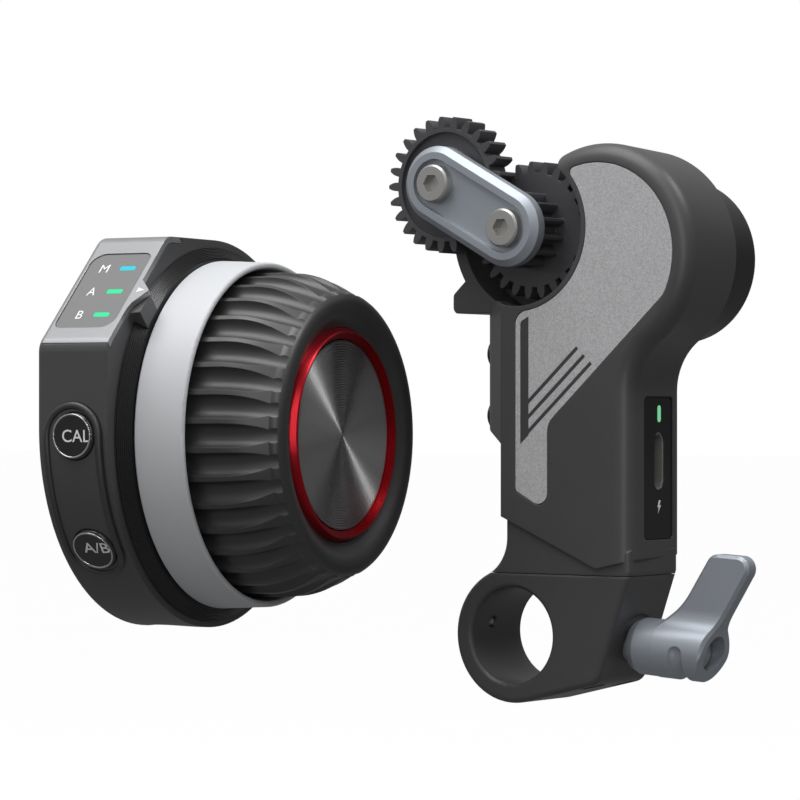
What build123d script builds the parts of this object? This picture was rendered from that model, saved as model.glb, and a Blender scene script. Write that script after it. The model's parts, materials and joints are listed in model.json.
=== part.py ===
from build123d import *
import os
from math import acos, cos, pi, radians, sin, sqrt, tan

# A wireless follow focus set: a hand unit with a large focus knob, and a geared
# motor unit that clamps on a 15 mm rod and drives the focus ring of a lens.
# Millimetres. The origin is the centre of the rod bore in the motor unit's clamp.
# X runs to the right along the face of the motor unit, Y from its face to its
# back, and Z up. The hand unit stands beside it with its knob facing right.

os.makedirs("parts", exist_ok=True)

# ---------------------------------------------------------------- fits and walls
running_gap = 0.05          # radial gap of a shaft in its bore
seat_gap = 0.1              # gap of a part let into a pocket, each side
face_gap = 0.15             # axial gap between a turning part and its neighbour
beyond = 80.0               # how far a cut or a slab runs past everything
board_thickness = 0.9       # of every circuit board

# ---------------------------------------------------------------- rod clamp
rod_diameter = 15.0
bore_radius = rod_diameter / 2 + running_gap
clamp_wall = 3.05
clamp_length = 14.1
bore_chamfer = 0.45
clamp_axis_tilt = 3.4       # degrees that the clamp screw points down
seam_height = 9.8           # joint between clamp block and housing

ring_radius = bore_radius + clamp_wall
y_clamp = clamp_length / 2  # half length of the clamp along the rod

# ---------------------------------------------------------------- gear train
gear_module = 0.8
pressure_angle = 20.0
tooth_backlash = 0.14
drive_teeth = 25
pinion_teeth = 13
idler_teeth = 25
motor_teeth = 13
gear_width = 5.0
idler_width = 4.4
arm_angle = 151.0           # rest direction of the arm, from +X towards +Z
motor_drop_angle = 16.2     # how far the motor axis lies below the drive axis, degrees
drive_x = 1.3
drive_z = 63.5


def pitch_radius(teeth):
    return gear_module * teeth / 2


def tip_radius(teeth):
    return pitch_radius(teeth) + gear_module


motor_reach = pitch_radius(drive_teeth) + pitch_radius(motor_teeth)
motor_x = drive_x + motor_reach * cos(radians(motor_drop_angle))
motor_z = drive_z - motor_reach * sin(radians(motor_drop_angle))
arm_reach = pitch_radius(pinion_teeth) + pitch_radius(idler_teeth)
idler_x = drive_x + arm_reach * cos(radians(arm_angle))
idler_z = drive_z + arm_reach * sin(radians(arm_angle))

# ---------------------------------------------------------------- motor housing
face_step = 0.5             # how far the column stands out from the clamp block
column_left = -1.6
column_width = 24.0
column_depth = clamp_length + face_step
head_radius = 17.2
housing_draft = 2.6         # degrees, the casting narrows towards its back
face_round = 2.8
head_blend = 9.0
ring_blend = 6.5
housing_wall = 1.8
front_wall = 2.2
step_left_z = 18.6          # the V-shaped step between column and clamp block
step_low_x = 16.0
step_low_z = 10.8
step_right_z = 12.2
recess_clearance = 1.25     # from the drive gear's tips to the recess wall
recess_lip = 0.9            # the gear bay widens by this behind the front lip

y_face = -y_clamp - face_step
y_back = y_clamp
column_right = column_left + column_width
recess_radius = tip_radius(drive_teeth) + recess_clearance
bay_radius = recess_radius + recess_lip

# gear stations, as depths behind the face of the column
gear_front = 4.7
gear_back = gear_front + gear_width
bay_floor = gear_back + 0.3
guard_front = 4.3
motor_front = 10.7
idler_front = -0.7
idler_back = idler_front + idler_width
arm_back = idler_front - 0.2
arm_thickness = 2.7
arm_front = arm_back - arm_thickness

# ---------------------------------------------------------------- small helpers


def depth(distance):
    """Y of a plane that lies this far behind the face of the column."""
    return y_face + distance


def along_y(sketch, y_start, y_end, taper=0):
    """Extrude a sketch drawn as (x, z) from y_start back to y_end."""
    return extrude(Plane.XZ.offset(-y_start) * sketch, -(y_end - y_start), taper=taper)


def rod_y(radius, x, z, y_start, y_end):
    return along_y(Pos(x, z) * Circle(radius), y_start, y_end)


def polygon(*points):
    return make_face(Polyline(*points, close=True))


def box_between(x_range, y_range, z_range):
    sizes = [high - low for low, high in (x_range, y_range, z_range)]
    centre = [(high + low) / 2 for low, high in (x_range, y_range, z_range)]
    return Pos(*centre) * Box(*sizes)


def polar(radius, angle):
    return (radius * cos(angle), radius * sin(angle))


def sector(start, end):
    """Wide triangle from the origin that spans two directions, in degrees."""
    return polygon((0, 0), polar(beyond, radians(start)), polar(beyond, radians(end)))


def corner(sketch, x, z):
    """The vertex of a sketch that lies nearest to a point."""
    return sketch.vertices().sort_by_distance(Vector(x, z, 0))[0]


def turned(*points):
    """A solid of revolution about X from (x, radius) points."""
    return revolve(Plane.XZ * polygon(*points), Axis.X)


def tube_x(radius, bore, x_start, x_end):
    return turned((x_start, bore), (x_end, bore), (x_end, radius), (x_start, radius))


def rod_x(radius, x_start, x_end):
    return turned((x_start, 0), (x_end, 0), (x_end, radius), (x_start, radius))


def save(name, shape):
    export_step(shape, f"parts/{name}.step")


# ---------------------------------------------------------------- gears
def involute(angle):
    return tan(angle) - angle


def tooth_half_angle(teeth, radius):
    """Half the angle that a tooth spans at a radius, on its involute flank."""
    base = pitch_radius(teeth) * cos(radians(pressure_angle))
    roll = acos(min(1.0, base / radius))
    at_pitch = pi / (2 * teeth) - tooth_backlash / (4 * pitch_radius(teeth))
    return at_pitch + involute(radians(pressure_angle)) - involute(roll)


def gear_face(teeth, turn_degrees):
    """Spur gear outline with one tooth pointing at turn_degrees."""
    radii = [pitch_radius(teeth) - 1.25 * gear_module, pitch_radius(teeth), tip_radius(teeth)]
    halves = [tooth_half_angle(teeth, radius) for radius in radii]
    pitch = 2 * pi / teeth
    edges = []
    for tooth in range(teeth):
        middle = radians(turn_degrees) + tooth * pitch
        rise = [polar(radius, middle - half) for radius, half in zip(radii, halves)]
        fall = [polar(radius, middle + half) for radius, half in zip(radii, halves)]
        next_foot = polar(radii[0], middle + pitch - halves[0])
        edges += [
            ThreePointArc(*rise),
            ThreePointArc(rise[2], polar(radii[2], middle), fall[2]),
            ThreePointArc(*reversed(fall)),
            ThreePointArc(fall[0], polar(radii[0], middle + pitch / 2), next_foot),
        ]
    return make_face(edges)


def gear(teeth, x, z, turn_degrees, depth_start, depth_end):
    face = Pos(x, z) * gear_face(teeth, turn_degrees)
    return along_y(face, depth(depth_start), depth(depth_end))


axle_radius = 2.0
axle_flange = 2.0
axle_flange_radius = 3.4
gear_bore = axle_radius + running_gap


def drive_gear():
    """Large gear and pinion in one piece. A pinion tooth points at the idler."""
    motor_gap_turn = -motor_drop_angle + 180 / drive_teeth
    wheel = gear(drive_teeth, drive_x, drive_z, motor_gap_turn, gear_front, gear_back)
    pinion_front = arm_back + face_gap
    pinion = gear(pinion_teeth, drive_x, drive_z, arm_angle, pinion_front, gear_front)
    hub = rod_y(4.2, drive_x, drive_z, depth(gear_back), depth(bay_floor - face_gap))
    bore = rod_y(gear_bore, drive_x, drive_z, depth(pinion_front - 1), depth(bay_floor + 1))
    return wheel + pinion + hub - bore


motor_shaft_radius = 1.5


def motor_gear():
    """Gear on the motor shaft. A tooth points at the drive gear."""
    turn = 180 - motor_drop_angle
    body = gear(motor_teeth, motor_x, motor_z, turn, gear_front, gear_back)
    bore = rod_y(motor_shaft_radius, motor_x, motor_z, depth(0), depth(bay_floor + 1))
    return body - bore


idler_bush_radius = 3.0
idler_dish_radius = 8.3
idler_boss_radius = 6.1
idler_dish_depth = 0.8
clip_radius = 3.6
clip_thickness = 0.5
clip_pocket_depth = 0.9


def idler_gear():
    """Output gear with a dished face. A tooth gap points back at the pinion."""
    turn = arm_angle + 180 + 180 / idler_teeth
    body = gear(idler_teeth, idler_x, idler_z, turn, idler_front, idler_back)
    dish = Circle(idler_dish_radius) - Circle(idler_boss_radius)
    body -= along_y(Pos(idler_x, idler_z) * dish, depth(idler_front),
                    depth(idler_front + idler_dish_depth))
    body -= rod_y(idler_bush_radius + running_gap, idler_x, idler_z,
                  depth(idler_front - 1), depth(idler_back + 1))
    clip_pocket = clip_radius + 2 * seat_gap
    return body - rod_y(clip_pocket, idler_x, idler_z,
                        depth(idler_back - clip_pocket_depth), depth(idler_back + 1))


# ---------------------------------------------------------------- gear arm
arm_end_radius = 6.0
arm_rim = 1.1
arm_chamfer = 1.0
arm_pocket = 1.0
screw_head_radius = 3.0
screw_head_front = -4.3
screw_thread_radius = 1.25
hex_socket = 2.6

arm_floor = arm_front + arm_pocket


def arm_slot(radius):
    """Stadium between the drive axis and the idler axis."""
    ends = Pos(drive_x, drive_z) * Circle(radius) + Pos(idler_x, idler_z) * Circle(radius)
    middle = Pos((drive_x + idler_x) / 2, (drive_z + idler_z) / 2)
    return ends + middle * Rot(0, 0, arm_angle) * Rectangle(arm_reach, 2 * radius)


def gear_arm():
    arm = along_y(arm_slot(arm_end_radius), depth(arm_front), depth(arm_back))
    arm = chamfer(arm.faces().sort_by(Axis.Y)[0].edges(), arm_chamfer)
    pocket = arm_slot(arm_end_radius - arm_rim - arm_chamfer)
    arm -= along_y(pocket, depth(arm_front), depth(arm_floor))
    arm -= rod_y(gear_bore, drive_x, drive_z, depth(arm_front), depth(arm_back))
    return arm - rod_y(axle_radius, idler_x, idler_z, depth(arm_front), depth(arm_back))


def socket_head(x, z):
    """Cap screw head that seats on the pocket floor of the arm."""
    head = rod_y(screw_head_radius, x, z, depth(screw_head_front), depth(arm_floor))
    head = chamfer(head.faces().sort_by(Axis.Y)[0].edges(), 0.3)
    socket = Pos(x, z) * RegularPolygon(hex_socket / 2, 6, major_radius=False)
    return head - along_y(socket, depth(screw_head_front), depth(screw_head_front + 1.1))


def arm_pivot_screw():
    thread = rod_y(screw_thread_radius, drive_x, drive_z, depth(arm_floor), depth(4.0))
    return socket_head(drive_x, drive_z) + thread


def idler_screw():
    """Shoulder screw: the idler turns on its shank behind the arm."""
    shank = rod_y(axle_radius, idler_x, idler_z, depth(arm_floor), depth(idler_back - 0.05))
    groove_start = idler_back - clip_pocket_depth + 0.15
    groove = Circle(axle_radius) - Circle(axle_radius - 0.4)
    shank -= along_y(Pos(idler_x, idler_z) * groove, depth(groove_start),
                     depth(groove_start + clip_thickness))
    return socket_head(idler_x, idler_z) + shank


def idler_clip():
    start = idler_back - clip_pocket_depth + 0.15
    ring = Circle(clip_radius) - Circle(axle_radius - 0.4)
    ring -= Pos(0, -clip_radius) * Rectangle(1.6, 2 * clip_radius)
    return along_y(Pos(idler_x, idler_z) * ring, depth(start), depth(start + clip_thickness))


def idler_bush():
    ring = Circle(idler_bush_radius) - Circle(gear_bore)
    return along_y(Pos(idler_x, idler_z) * ring, depth(idler_front),
                   depth(idler_back - clip_pocket_depth))


def drive_axle():
    """Fixed post that carries the drive gear and the arm."""
    front = arm_floor + 0.1
    y_end = y_back - seat_gap
    y_seat = y_end - axle_flange
    post = rod_y(axle_radius, drive_x, drive_z, depth(front), y_seat)
    flange = rod_y(axle_flange_radius, drive_x, drive_z, y_seat, y_end)
    socket = Pos(drive_x, drive_z) * RegularPolygon(hex_socket / 2, 6, major_radius=False)
    post += flange - along_y(socket, y_end - 0.9, y_end)
    thread = rod_y(screw_thread_radius + running_gap, drive_x, drive_z,
                   depth(front), depth(4.6))
    return post - thread


# ---------------------------------------------------------------- motor housing
clamp_right = 21.9
clamp_low_x = 16.0
clamp_bottom_slope = 13.7


def foot_outline():
    """Clamp ring, its block and the narrow foot of the column, as one face."""
    slope = radians(clamp_bottom_slope)
    touch = (ring_radius * sin(slope), -ring_radius * cos(slope))
    low_z = touch[1] + (clamp_low_x - touch[0]) * tan(slope)
    left = column_left + face_step
    block = polygon((left, step_left_z + 1), (left, 0), touch, (clamp_low_x, low_z),
                    (clamp_right, seam_height + 0.5), (clamp_right, step_right_z + 1.5))
    outline = Circle(ring_radius) + block
    ring_top = sqrt(ring_radius ** 2 - left ** 2)
    outline = fillet(corner(outline, left, ring_top), ring_blend)
    return fillet(corner(outline, clamp_low_x, low_z), 2.5)


def column_outline():
    """Column and motor head, before the gear recess is cut."""
    column = polygon((column_left, step_left_z), (step_low_x, step_low_z),
                     (column_right, step_right_z), (column_right, motor_z - 6),
                     (column_left, motor_z - 6))
    outline = column + Pos(motor_x, motor_z) * Circle(head_radius)
    side = column_right - motor_x
    join_z = motor_z - sqrt(head_radius ** 2 - side ** 2)
    return fillet(corner(outline, column_right, join_z), head_blend)


def foot():
    body = along_y(foot_outline(), -y_clamp, y_clamp)
    rim = body.faces().filter_by(Axis.Y).sort_by(Axis.Y)
    outer = [rim[0].outer_wire().edges(), rim[-1].outer_wire().edges()]
    return fillet(outer[0] + outer[1], 0.8)


def above_seam(gap):
    return box_between((-beyond, beyond), (-beyond, beyond), (seam_height + gap, beyond))


block_screw_x = 13.4
block_screw_sides = (-4.3, 4.3)
block_screw_radius = 1.25
block_screw_head = 1.8

guard_width = 1.95          # of the rim round the gear bay
guard_angles = (171.5, 270) # where the rim starts and ends, round the drive axis
lug_left = -13.7
lug_bottom = 50.6
lug_top = 53.6
pod_bottom = 29.5
pod_top = 52.4
pod_bulge = 7.0             # how far the button pod stands out of the column
pod_wall = 1.6
pod_room = 3.4              # half width of the room inside the pod, along Y


def button_pod():
    """Swelling on the left of the column that holds the two push buttons."""
    edge_x = column_left - 4.6
    front, back = depth(4.0), y_back
    section = Polyline((column_left + 1, back), (column_left + 1, depth(0.2)),
                       (column_left, depth(0.7)), (edge_x, front))
    swell = ThreePointArc((edge_x, front), (column_left - pod_bulge, (front + back) / 2),
                          (edge_x, back))
    close = Line((edge_x, back), (column_left + 1, back))
    base = Pos(0, 0, pod_bottom) * make_face([section, swell, close])
    pod = extrude(base, pod_top - pod_bottom)
    wedge = polygon((column_left - pod_bulge - 1, pod_bottom - 1), (column_left, pod_bottom - 1),
                    (column_left, pod_bottom), (column_left - pod_bulge - 1, pod_bottom + 4))
    return pod - along_y(wedge, depth(-1), y_back + 1)


def gear_guard():
    """Rim round the lower left of the gear bay, with the foot that stands out left."""
    rim = Pos(drive_x, drive_z) * (Circle(bay_radius + guard_width) & sector(*guard_angles))
    lug = polygon((lug_left, lug_bottom), (column_left + 1, lug_bottom),
                  (column_left + 1, lug_top + 3), (lug_left + 2.6, lug_top + 2.4),
                  (lug_left, lug_top))
    lug = fillet(corner(lug, lug_left, lug_bottom), 1.0)
    lug = fillet(corner(lug, lug_left, lug_top), 1.0)
    return along_y(rim + lug, depth(guard_front), y_back)


room_floor = seam_height + 2 + housing_wall
room_top = motor_z - 12
room_left = column_left + housing_wall
room_right = column_right - 2 * housing_wall
head_room = head_radius - housing_wall - 0.8
bay_wall = 1.2              # between the gear bay and the room in the head


def room_outline(gap=0.0):
    """Room in the column and the head, seen from the back."""
    column = polygon((room_left + gap, room_floor + gap), (room_right - gap, room_floor + gap),
                     (room_right - gap, room_top), (room_left + gap, room_top))
    return column + Pos(motor_x, motor_z) * Circle(head_room - gap)


def housing_cavity():
    """Room for the motor, its gear and the board, open at the back."""
    wall = Pos(drive_x, drive_z) * Circle(bay_radius + bay_wall)
    return along_y(room_outline() - wall, depth(front_wall), y_back + 1)


def gear_window():
    """Opening in the bay wall where the motor gear reaches the drive gear."""
    return rod_y(tip_radius(motor_teeth) + 0.5, motor_x, motor_z,
                 depth(gear_front - 0.4), depth(motor_front))


beak_round = 1.8            # rounding where the head's rim runs into the gear recess


def upper_crossing(from_motor, from_drive):
    """The upper point at these distances from the motor axis and the drive axis."""
    along = (from_motor ** 2 - from_drive ** 2 + motor_reach ** 2) / (2 * motor_reach)
    across = sqrt(from_motor ** 2 - along ** 2)
    drop = radians(motor_drop_angle)
    return (motor_x - along * cos(drop) + across * sin(drop),
            motor_z + along * sin(drop) + across * cos(drop))


def beak_cutter():
    """The sharp tip between the head's rim and the recess, outside its rounding."""
    to_motor, to_drive = head_radius - beak_round, recess_radius + beak_round
    x, z = upper_crossing(to_motor, to_drive)
    outwards = ((x - motor_x) / to_motor, (z - motor_z) / to_motor)
    inwards = ((drive_x - x) / to_drive, (drive_z - z) / to_drive)
    reach = 2 * beak_round
    kite = polygon((x, z), (x + reach * outwards[0], z + reach * outwards[1]),
                   (x + 3 * reach * (outwards[0] + inwards[0]),
                    z + 3 * reach * (outwards[1] + inwards[1])),
                   (x + reach * inwards[0], z + reach * inwards[1]))
    return along_y(kite - Pos(x, z) * Circle(beak_round), y_face - 1, y_back + 1)


panel_thickness = 0.8
panel_margin = 3.15         # face left around the panel at the head
panel_bay_margin = 0.8      # face left between panel and gear recess
panel_left = 1.1
panel_strip_right = 7.2
panel_bottom = 19.4
panel_bottom_rise = 3.2     # the lower edge of the strip climbs to the left
panel_slope = 42.8          # direction of the diagonal edge, degrees
panel_diagonal_reach = 13.3 # of the diagonal edge from the motor axis


def diagonal_point(along, gap=0.0):
    """Point on the diagonal edge, counted along it from the foot of the motor axis."""
    turn, reach = radians(panel_slope), panel_diagonal_reach - gap
    return (motor_x + reach * sin(turn) + along * cos(turn),
            motor_z - reach * cos(turn) + along * sin(turn))


def panel_outline(gap=0.0):
    """Inlay of the face: crescent round the gear recess, diagonal and strip."""
    head_arc = head_radius - panel_margin - gap
    below = polygon(diagonal_point(-beyond, gap), diagonal_point(beyond, gap),
                    diagonal_point(beyond, -beyond), diagonal_point(-beyond, -beyond))
    crescent = Pos(motor_x, motor_z) * Circle(head_arc) - below
    left, right = panel_left + gap, panel_strip_right - gap
    to_strip = (right - diagonal_point(0, gap)[0]) / cos(radians(panel_slope))
    inner = diagonal_point(to_strip, gap)
    outer = diagonal_point(sqrt(head_arc ** 2 - (panel_diagonal_reach - gap) ** 2), gap)
    field = polygon((left, panel_bottom + panel_bottom_rise + gap), (right, panel_bottom + gap),
                    inner, outer, (motor_x, motor_z), (left, motor_z))
    bay = recess_radius + panel_bay_margin + gap
    outline = crescent + field - Pos(drive_x, drive_z) * Circle(bay)
    outline = Sketch() + outline.faces().sort_by(SortBy.AREA)[-1]
    rounds = (((left, drive_z - bay), 2.2), ((right, panel_bottom), 1.7), (inner, 3.0),
              ((left, panel_bottom + panel_bottom_rise), 0.8), (outer, 3.0),
              (upper_crossing(head_arc, bay), 0.8))
    for point, radius in rounds:
        outline = fillet(corner(outline, *point), radius)
    return outline


stripe_depth = 0.25


stripe_left = panel_left + 1.0
stripe_width = 1.55
stripe_heights = (29.9, 49.0)   # of the upright bar, at its left edge
bar_slope = 42.4
bar_thickness = 0.58
bar_starts = (36.95, 34.6, 32.3)    # heights of their upper edges at the upright bar
bar_lengths = (12.0, 13.7, 15.4)


def stripes_outline():
    """One upright bar with slanted ends, and three slanted bars that leave it."""
    right = stripe_left + stripe_width
    low, high = stripe_heights
    outline = polygon((stripe_left, low), (right, low + 1.4), (right, high + 0.8),
                      (stripe_left, high))
    outline = fillet(corner(outline, stripe_left, high), 0.7)
    for start, length in zip(bar_starts, bar_lengths):
        bar = Pos(length / 2 - 0.5, -bar_thickness / 2) * Rectangle(length + 1, bar_thickness)
        outline += Pos(right, start) * Rot(0, 0, bar_slope) * bar
    return outline


def face_panel():
    panel = along_y(panel_outline(seat_gap), y_face, depth(panel_thickness))
    return panel - along_y(stripes_outline(), y_face, depth(stripe_depth))


def panel_stripes():
    return along_y(stripes_outline(), depth(0.03), depth(stripe_depth))


port_panel_depths = (4.2, 13.4)
port_panel_heights = (15.2, 37.3)
port_panel_seat = 2.0       # depth of its pocket in the column's side


def port_pocket(gap=0.0):
    """Block that fills the pocket of the port panel, less a gap at its edges."""
    inner = column_right - port_panel_seat
    y_range = (depth(port_panel_depths[0] + gap), depth(port_panel_depths[1] - gap))
    z_range = (port_panel_heights[0] + gap, port_panel_heights[1] - gap)
    block = box_between((inner, column_right + 2), y_range, z_range)
    return fillet(block.edges().filter_by(Axis.X), 0.9 - gap)


button_heights = (44.2, 34.4)
button_radius = 2.3
button_travel = 0.4
pod_apex_x = column_left - pod_bulge
pod_apex_y = (depth(4.0) + y_back) / 2


def button_bores(radius, x_start, x_end):
    bores = Part()
    for height in button_heights:
        bores += Pos(0, pod_apex_y, height) * rod_x(radius, x_start, x_end)
    return bores


cover_thickness = 2.0
cover_screw_thread = 0.9
cover_screw_head = 1.6
cover_boss_radius = 2.3
boss_reach = head_room - cover_screw_head - 0.5     # head bosses, from the motor axis
cover_screw_places = (
    (room_left + 2.2, room_floor + 2.2), (room_right - 2.2, room_floor + 2.2),
    (motor_x + boss_reach * cos(radians(62)), motor_z + boss_reach * sin(radians(62))),
    (motor_x + boss_reach * cos(radians(-58)), motor_z + boss_reach * sin(radians(-58))),
)

port_size = (8.94, 3.2)     # opening of a USB-C shell, along Z and across
port_height = 27.35
port_depth = 9.3
status_size = (2.6, 0.9)     # light pipe, along Z and across
status_height = 34.65
status_depth = 9.25


def slot_x(size, gap, y, z, x_start, x_end):
    """Stadium-ended bar along X, tall in Z: a charge port or a light pipe."""
    face = SlotOverall(size[0] + 2 * gap, size[1] + 2 * gap, rotation=90)
    return Pos(0, y, z) * extrude(Plane.YZ.offset(x_start) * face, x_end - x_start)


def motor_housing():
    """Cast front housing: head, column, button pod and gear guard in one."""
    body = along_y(column_outline(), y_face, y_back, taper=housing_draft)
    rim = body.faces().sort_by(Axis.Y)[0].outer_wire().edges()
    right_z = step_right_z + 1
    round_edges = rim.filter_by(lambda edge: edge.center().X > motor_x
                                or edge.center().Z > motor_z + 1)
    round_edges = round_edges.filter_by(lambda edge: edge.center().Z > right_z)
    body = fillet(round_edges, face_round)
    body += foot() & above_seam(0)
    body += button_pod() + gear_guard()
    body -= rod_y(recess_radius, drive_x, drive_z, y_face - 1, y_back + 1)
    body -= rod_y(bay_radius, drive_x, drive_z, depth(guard_front), y_back + 1)
    body -= beak_cutter()
    cavity = housing_cavity()
    for x, z in cover_screw_places:
        cavity -= rod_y(cover_boss_radius, x, z, y_face, y_back)
    body -= cavity + gear_window()
    body -= along_y(cover_outline(), y_back - cover_thickness, y_back + 1)
    body -= rod_y(motor_body_radius + running_gap, motor_x, motor_z,
                  depth(motor_front - face_gap), y_back + 1)
    for x, z in cover_screw_places:
        body -= rod_y(cover_screw_thread, x, z, depth(guard_front + 2), y_back + 1)
    body -= along_y(panel_outline(), y_face - 1, depth(panel_thickness))
    body -= port_pocket()
    inside = column_left + housing_wall + 4
    body -= slot_x(port_size, seat_gap, depth(port_depth), port_height, inside, column_right)
    body -= slot_x(status_size, seat_gap, depth(status_depth), status_height, inside,
                   column_right)
    for y in block_screw_sides:
        body -= Pos(block_screw_x, y, 0) * Cylinder(block_screw_radius, 2 * (seam_height + 3))
    body -= box_between((pod_apex_x + pod_wall, column_left + housing_wall + 1),
                        (pod_apex_y - pod_room, pod_apex_y + pod_room),
                        (pod_bottom + housing_wall, pod_top - 2 * housing_wall))
    body -= button_bores(button_radius + seat_gap, pod_apex_x - 1, column_left)
    return (Part() + body).solids().sort_by(SortBy.VOLUME)[-1]


open_angles = (50, guard_angles[0])     # where the gear bay is open, round the drive axis
floor_radius = pitch_radius(drive_teeth) - 0.4


def cover_outline(gap=0.0):
    """Outline of the rear cover, let into the housing; small behind the open side."""
    centre = Pos(drive_x, drive_z)
    outline = room_outline(gap) + centre * Circle(bay_radius - gap)
    return outline - centre * (sector(*open_angles) - Circle(floor_radius))


def rear_cover():
    """Plate that closes the housing and holds the motor and the gear axle."""
    outline = cover_outline(seat_gap)
    y_front = y_back - cover_thickness
    cover = along_y(outline, y_front, y_back)
    bay = Pos(drive_x, drive_z) * Circle(bay_radius - seat_gap)
    cover += along_y(outline & bay, depth(bay_floor), y_back)
    cover -= rod_y(motor_body_radius + running_gap, motor_x, motor_z, depth(bay_floor) - 1,
                   y_back + 1)
    cover -= rod_y(axle_radius, drive_x, drive_z, depth(bay_floor) - 1, y_back)
    cover -= rod_y(axle_flange_radius, drive_x, drive_z, y_back - seat_gap - axle_flange,
                   y_back + 1)
    for x, z in cover_screw_places:
        cover -= rod_y(cover_screw_thread + running_gap, x, z, y_front - 1, y_back + 1)
        cover -= rod_y(cover_screw_head + seat_gap, x, z, y_back - 1.1, y_back + 1)
    return cover


def cover_screws():
    screws = []
    for x, z in cover_screw_places:
        head = rod_y(cover_screw_head, x, z, y_back - 1.1, y_back - 0.1)
        socket = Pos(x, z) * RegularPolygon(0.75, 6, major_radius=False)
        head -= along_y(socket, y_back - 0.7, y_back)
        screws.append(head + rod_y(cover_screw_thread, x, z, depth(guard_front + 3), y_back - 1.1))
    return Compound(children=screws)


# ---------------------------------------------------------------- motor
motor_body_radius = 9.8
can_radius = 12.9
can_wall = 1.2
can_offset = (0.9, -0.45)   # the can sits a little off the motor's own axis
can_depth = 25.9
motor_length = can_depth - can_wall - motor_front - 0.4


def drive_motor():
    body = rod_y(motor_body_radius, motor_x, motor_z, depth(motor_front),
                 depth(motor_front + motor_length))
    body = chamfer(body.edges(), 0.4)
    return body - rod_y(motor_shaft_radius + running_gap, motor_x, motor_z,
                        depth(motor_front - 1), depth(motor_front + 6))


def motor_shaft():
    return rod_y(motor_shaft_radius, motor_x, motor_z, depth(gear_front - 0.4),
                 depth(motor_front + 5.5))


def motor_can():
    """Round cap over the back of the motor."""
    x, z = motor_x + can_offset[0], motor_z + can_offset[1]
    y_start, y_end = y_back, depth(can_depth)
    can = rod_y(can_radius, x, z, y_start, y_end)
    can = fillet(can.faces().sort_by(Axis.Y)[-1].edges(), 1.3)
    groove_y = y_start + 1.6
    groove = Pos(x, z) * (Circle(can_radius + 1) - Circle(can_radius - 0.25))
    can -= along_y(groove, groove_y, groove_y + 0.3)
    return can - rod_y(can_radius - can_wall, x, z, y_start - 1, y_end - can_wall)


# ---------------------------------------------------------------- side panel, buttons
def port_panel():
    skin = along_y(column_outline(), y_face, y_back, taper=housing_draft)
    panel = port_pocket(seat_gap) & skin.moved(Pos(-0.25, 0, 0))
    panel -= slot_x(port_size, 0.0, depth(port_depth), port_height, 0, column_right + 1)
    return panel - slot_x(status_size, 0.0, depth(status_depth), status_height, 0,
                          column_right + 1)


def charge_port(size, length):
    """Pressed steel shell of a charge port with its tongue, mouth at x = 0."""
    shell = slot_x(size, 0.0, 0, 0, -length, 0) - slot_x(size, -0.3, 0, 0, 0.6 - length, 1)
    tongue = box_between((0.6 - length, -1.0), (-0.35, 0.35), (-3.3, 3.3))
    return shell + tongue


def motor_charge_port():
    return Pos(column_right - 0.9, depth(port_depth), port_height) * charge_port(port_size, 6.6)


def status_light():
    return slot_x(status_size, 0.0, depth(status_depth), status_height, column_right - 4.5,
                  column_right - 0.6)


board_heights = (21.0, 46.0)
board_chip_height = 1.2
board_plug_height = 2.4


def motor_board():
    """Circuit board in front of the port, with its main chip and a connector."""
    back = depth(port_depth - port_size[1] / 2)
    front = back - board_thickness
    left, right = room_left + 2.0, room_right - 2.4
    low, high = board_heights
    board = box_between((left, right), (front, back), board_heights)
    chip = box_between((left + 3, left + 8), (front - board_chip_height, front), (low + 6, low + 11))
    plug = box_between((left + 2, left + 9), (front - board_plug_height, front), (high - 7, high - 3))
    return board + chip + plug


def pod_button(height):
    """Domed rubber button with a flange that keeps it in its bore."""
    inner = pod_apex_x + pod_wall
    crown = 1.3
    button = turned((inner + 0.05, 0), (inner + 0.05, button_radius + 0.6),
                    (inner + 0.6, button_radius + 0.6), (inner + 0.6, 0))
    button += rod_x(button_radius, pod_apex_x - 0.4, inner + 0.6)
    dome_radius = (button_radius ** 2 + (crown - 0.4) ** 2) / (2 * (crown - 0.4))
    dome = Pos(pod_apex_x - crown + dome_radius, 0, 0) * Sphere(dome_radius)
    dome &= box_between((pod_apex_x - 3, pod_apex_x - 0.4), (-5, 5), (-5, 5))
    return Pos(0, pod_apex_y, height) * (button + dome)


def pod_switches():
    """Small board in the pod with one click switch behind each button."""
    top = pod_apex_x + pod_wall + 0.6 + button_travel + 0.1
    board = box_between((top + 1.2, top + 2.0), (pod_apex_y - 3.2, pod_apex_y + 3.2),
                        (button_heights[1] - 1.8, button_heights[0] + 3.8))
    for height in button_heights:
        board += Pos(0, pod_apex_y, height) * rod_x(1.4, top, top + 1.2)
    return board


# ---------------------------------------------------------------- rod clamp
clamp_place = Rot(0, clamp_axis_tilt, 0)
pad_radius = 3.0
pad_length = 3.0
pad_travel = 1.0
clamp_screw_radius = 2.5
stop_ball_radius = 0.9
stop_ball_angle = 168.0
stop_ball_y = -1.4


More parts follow.
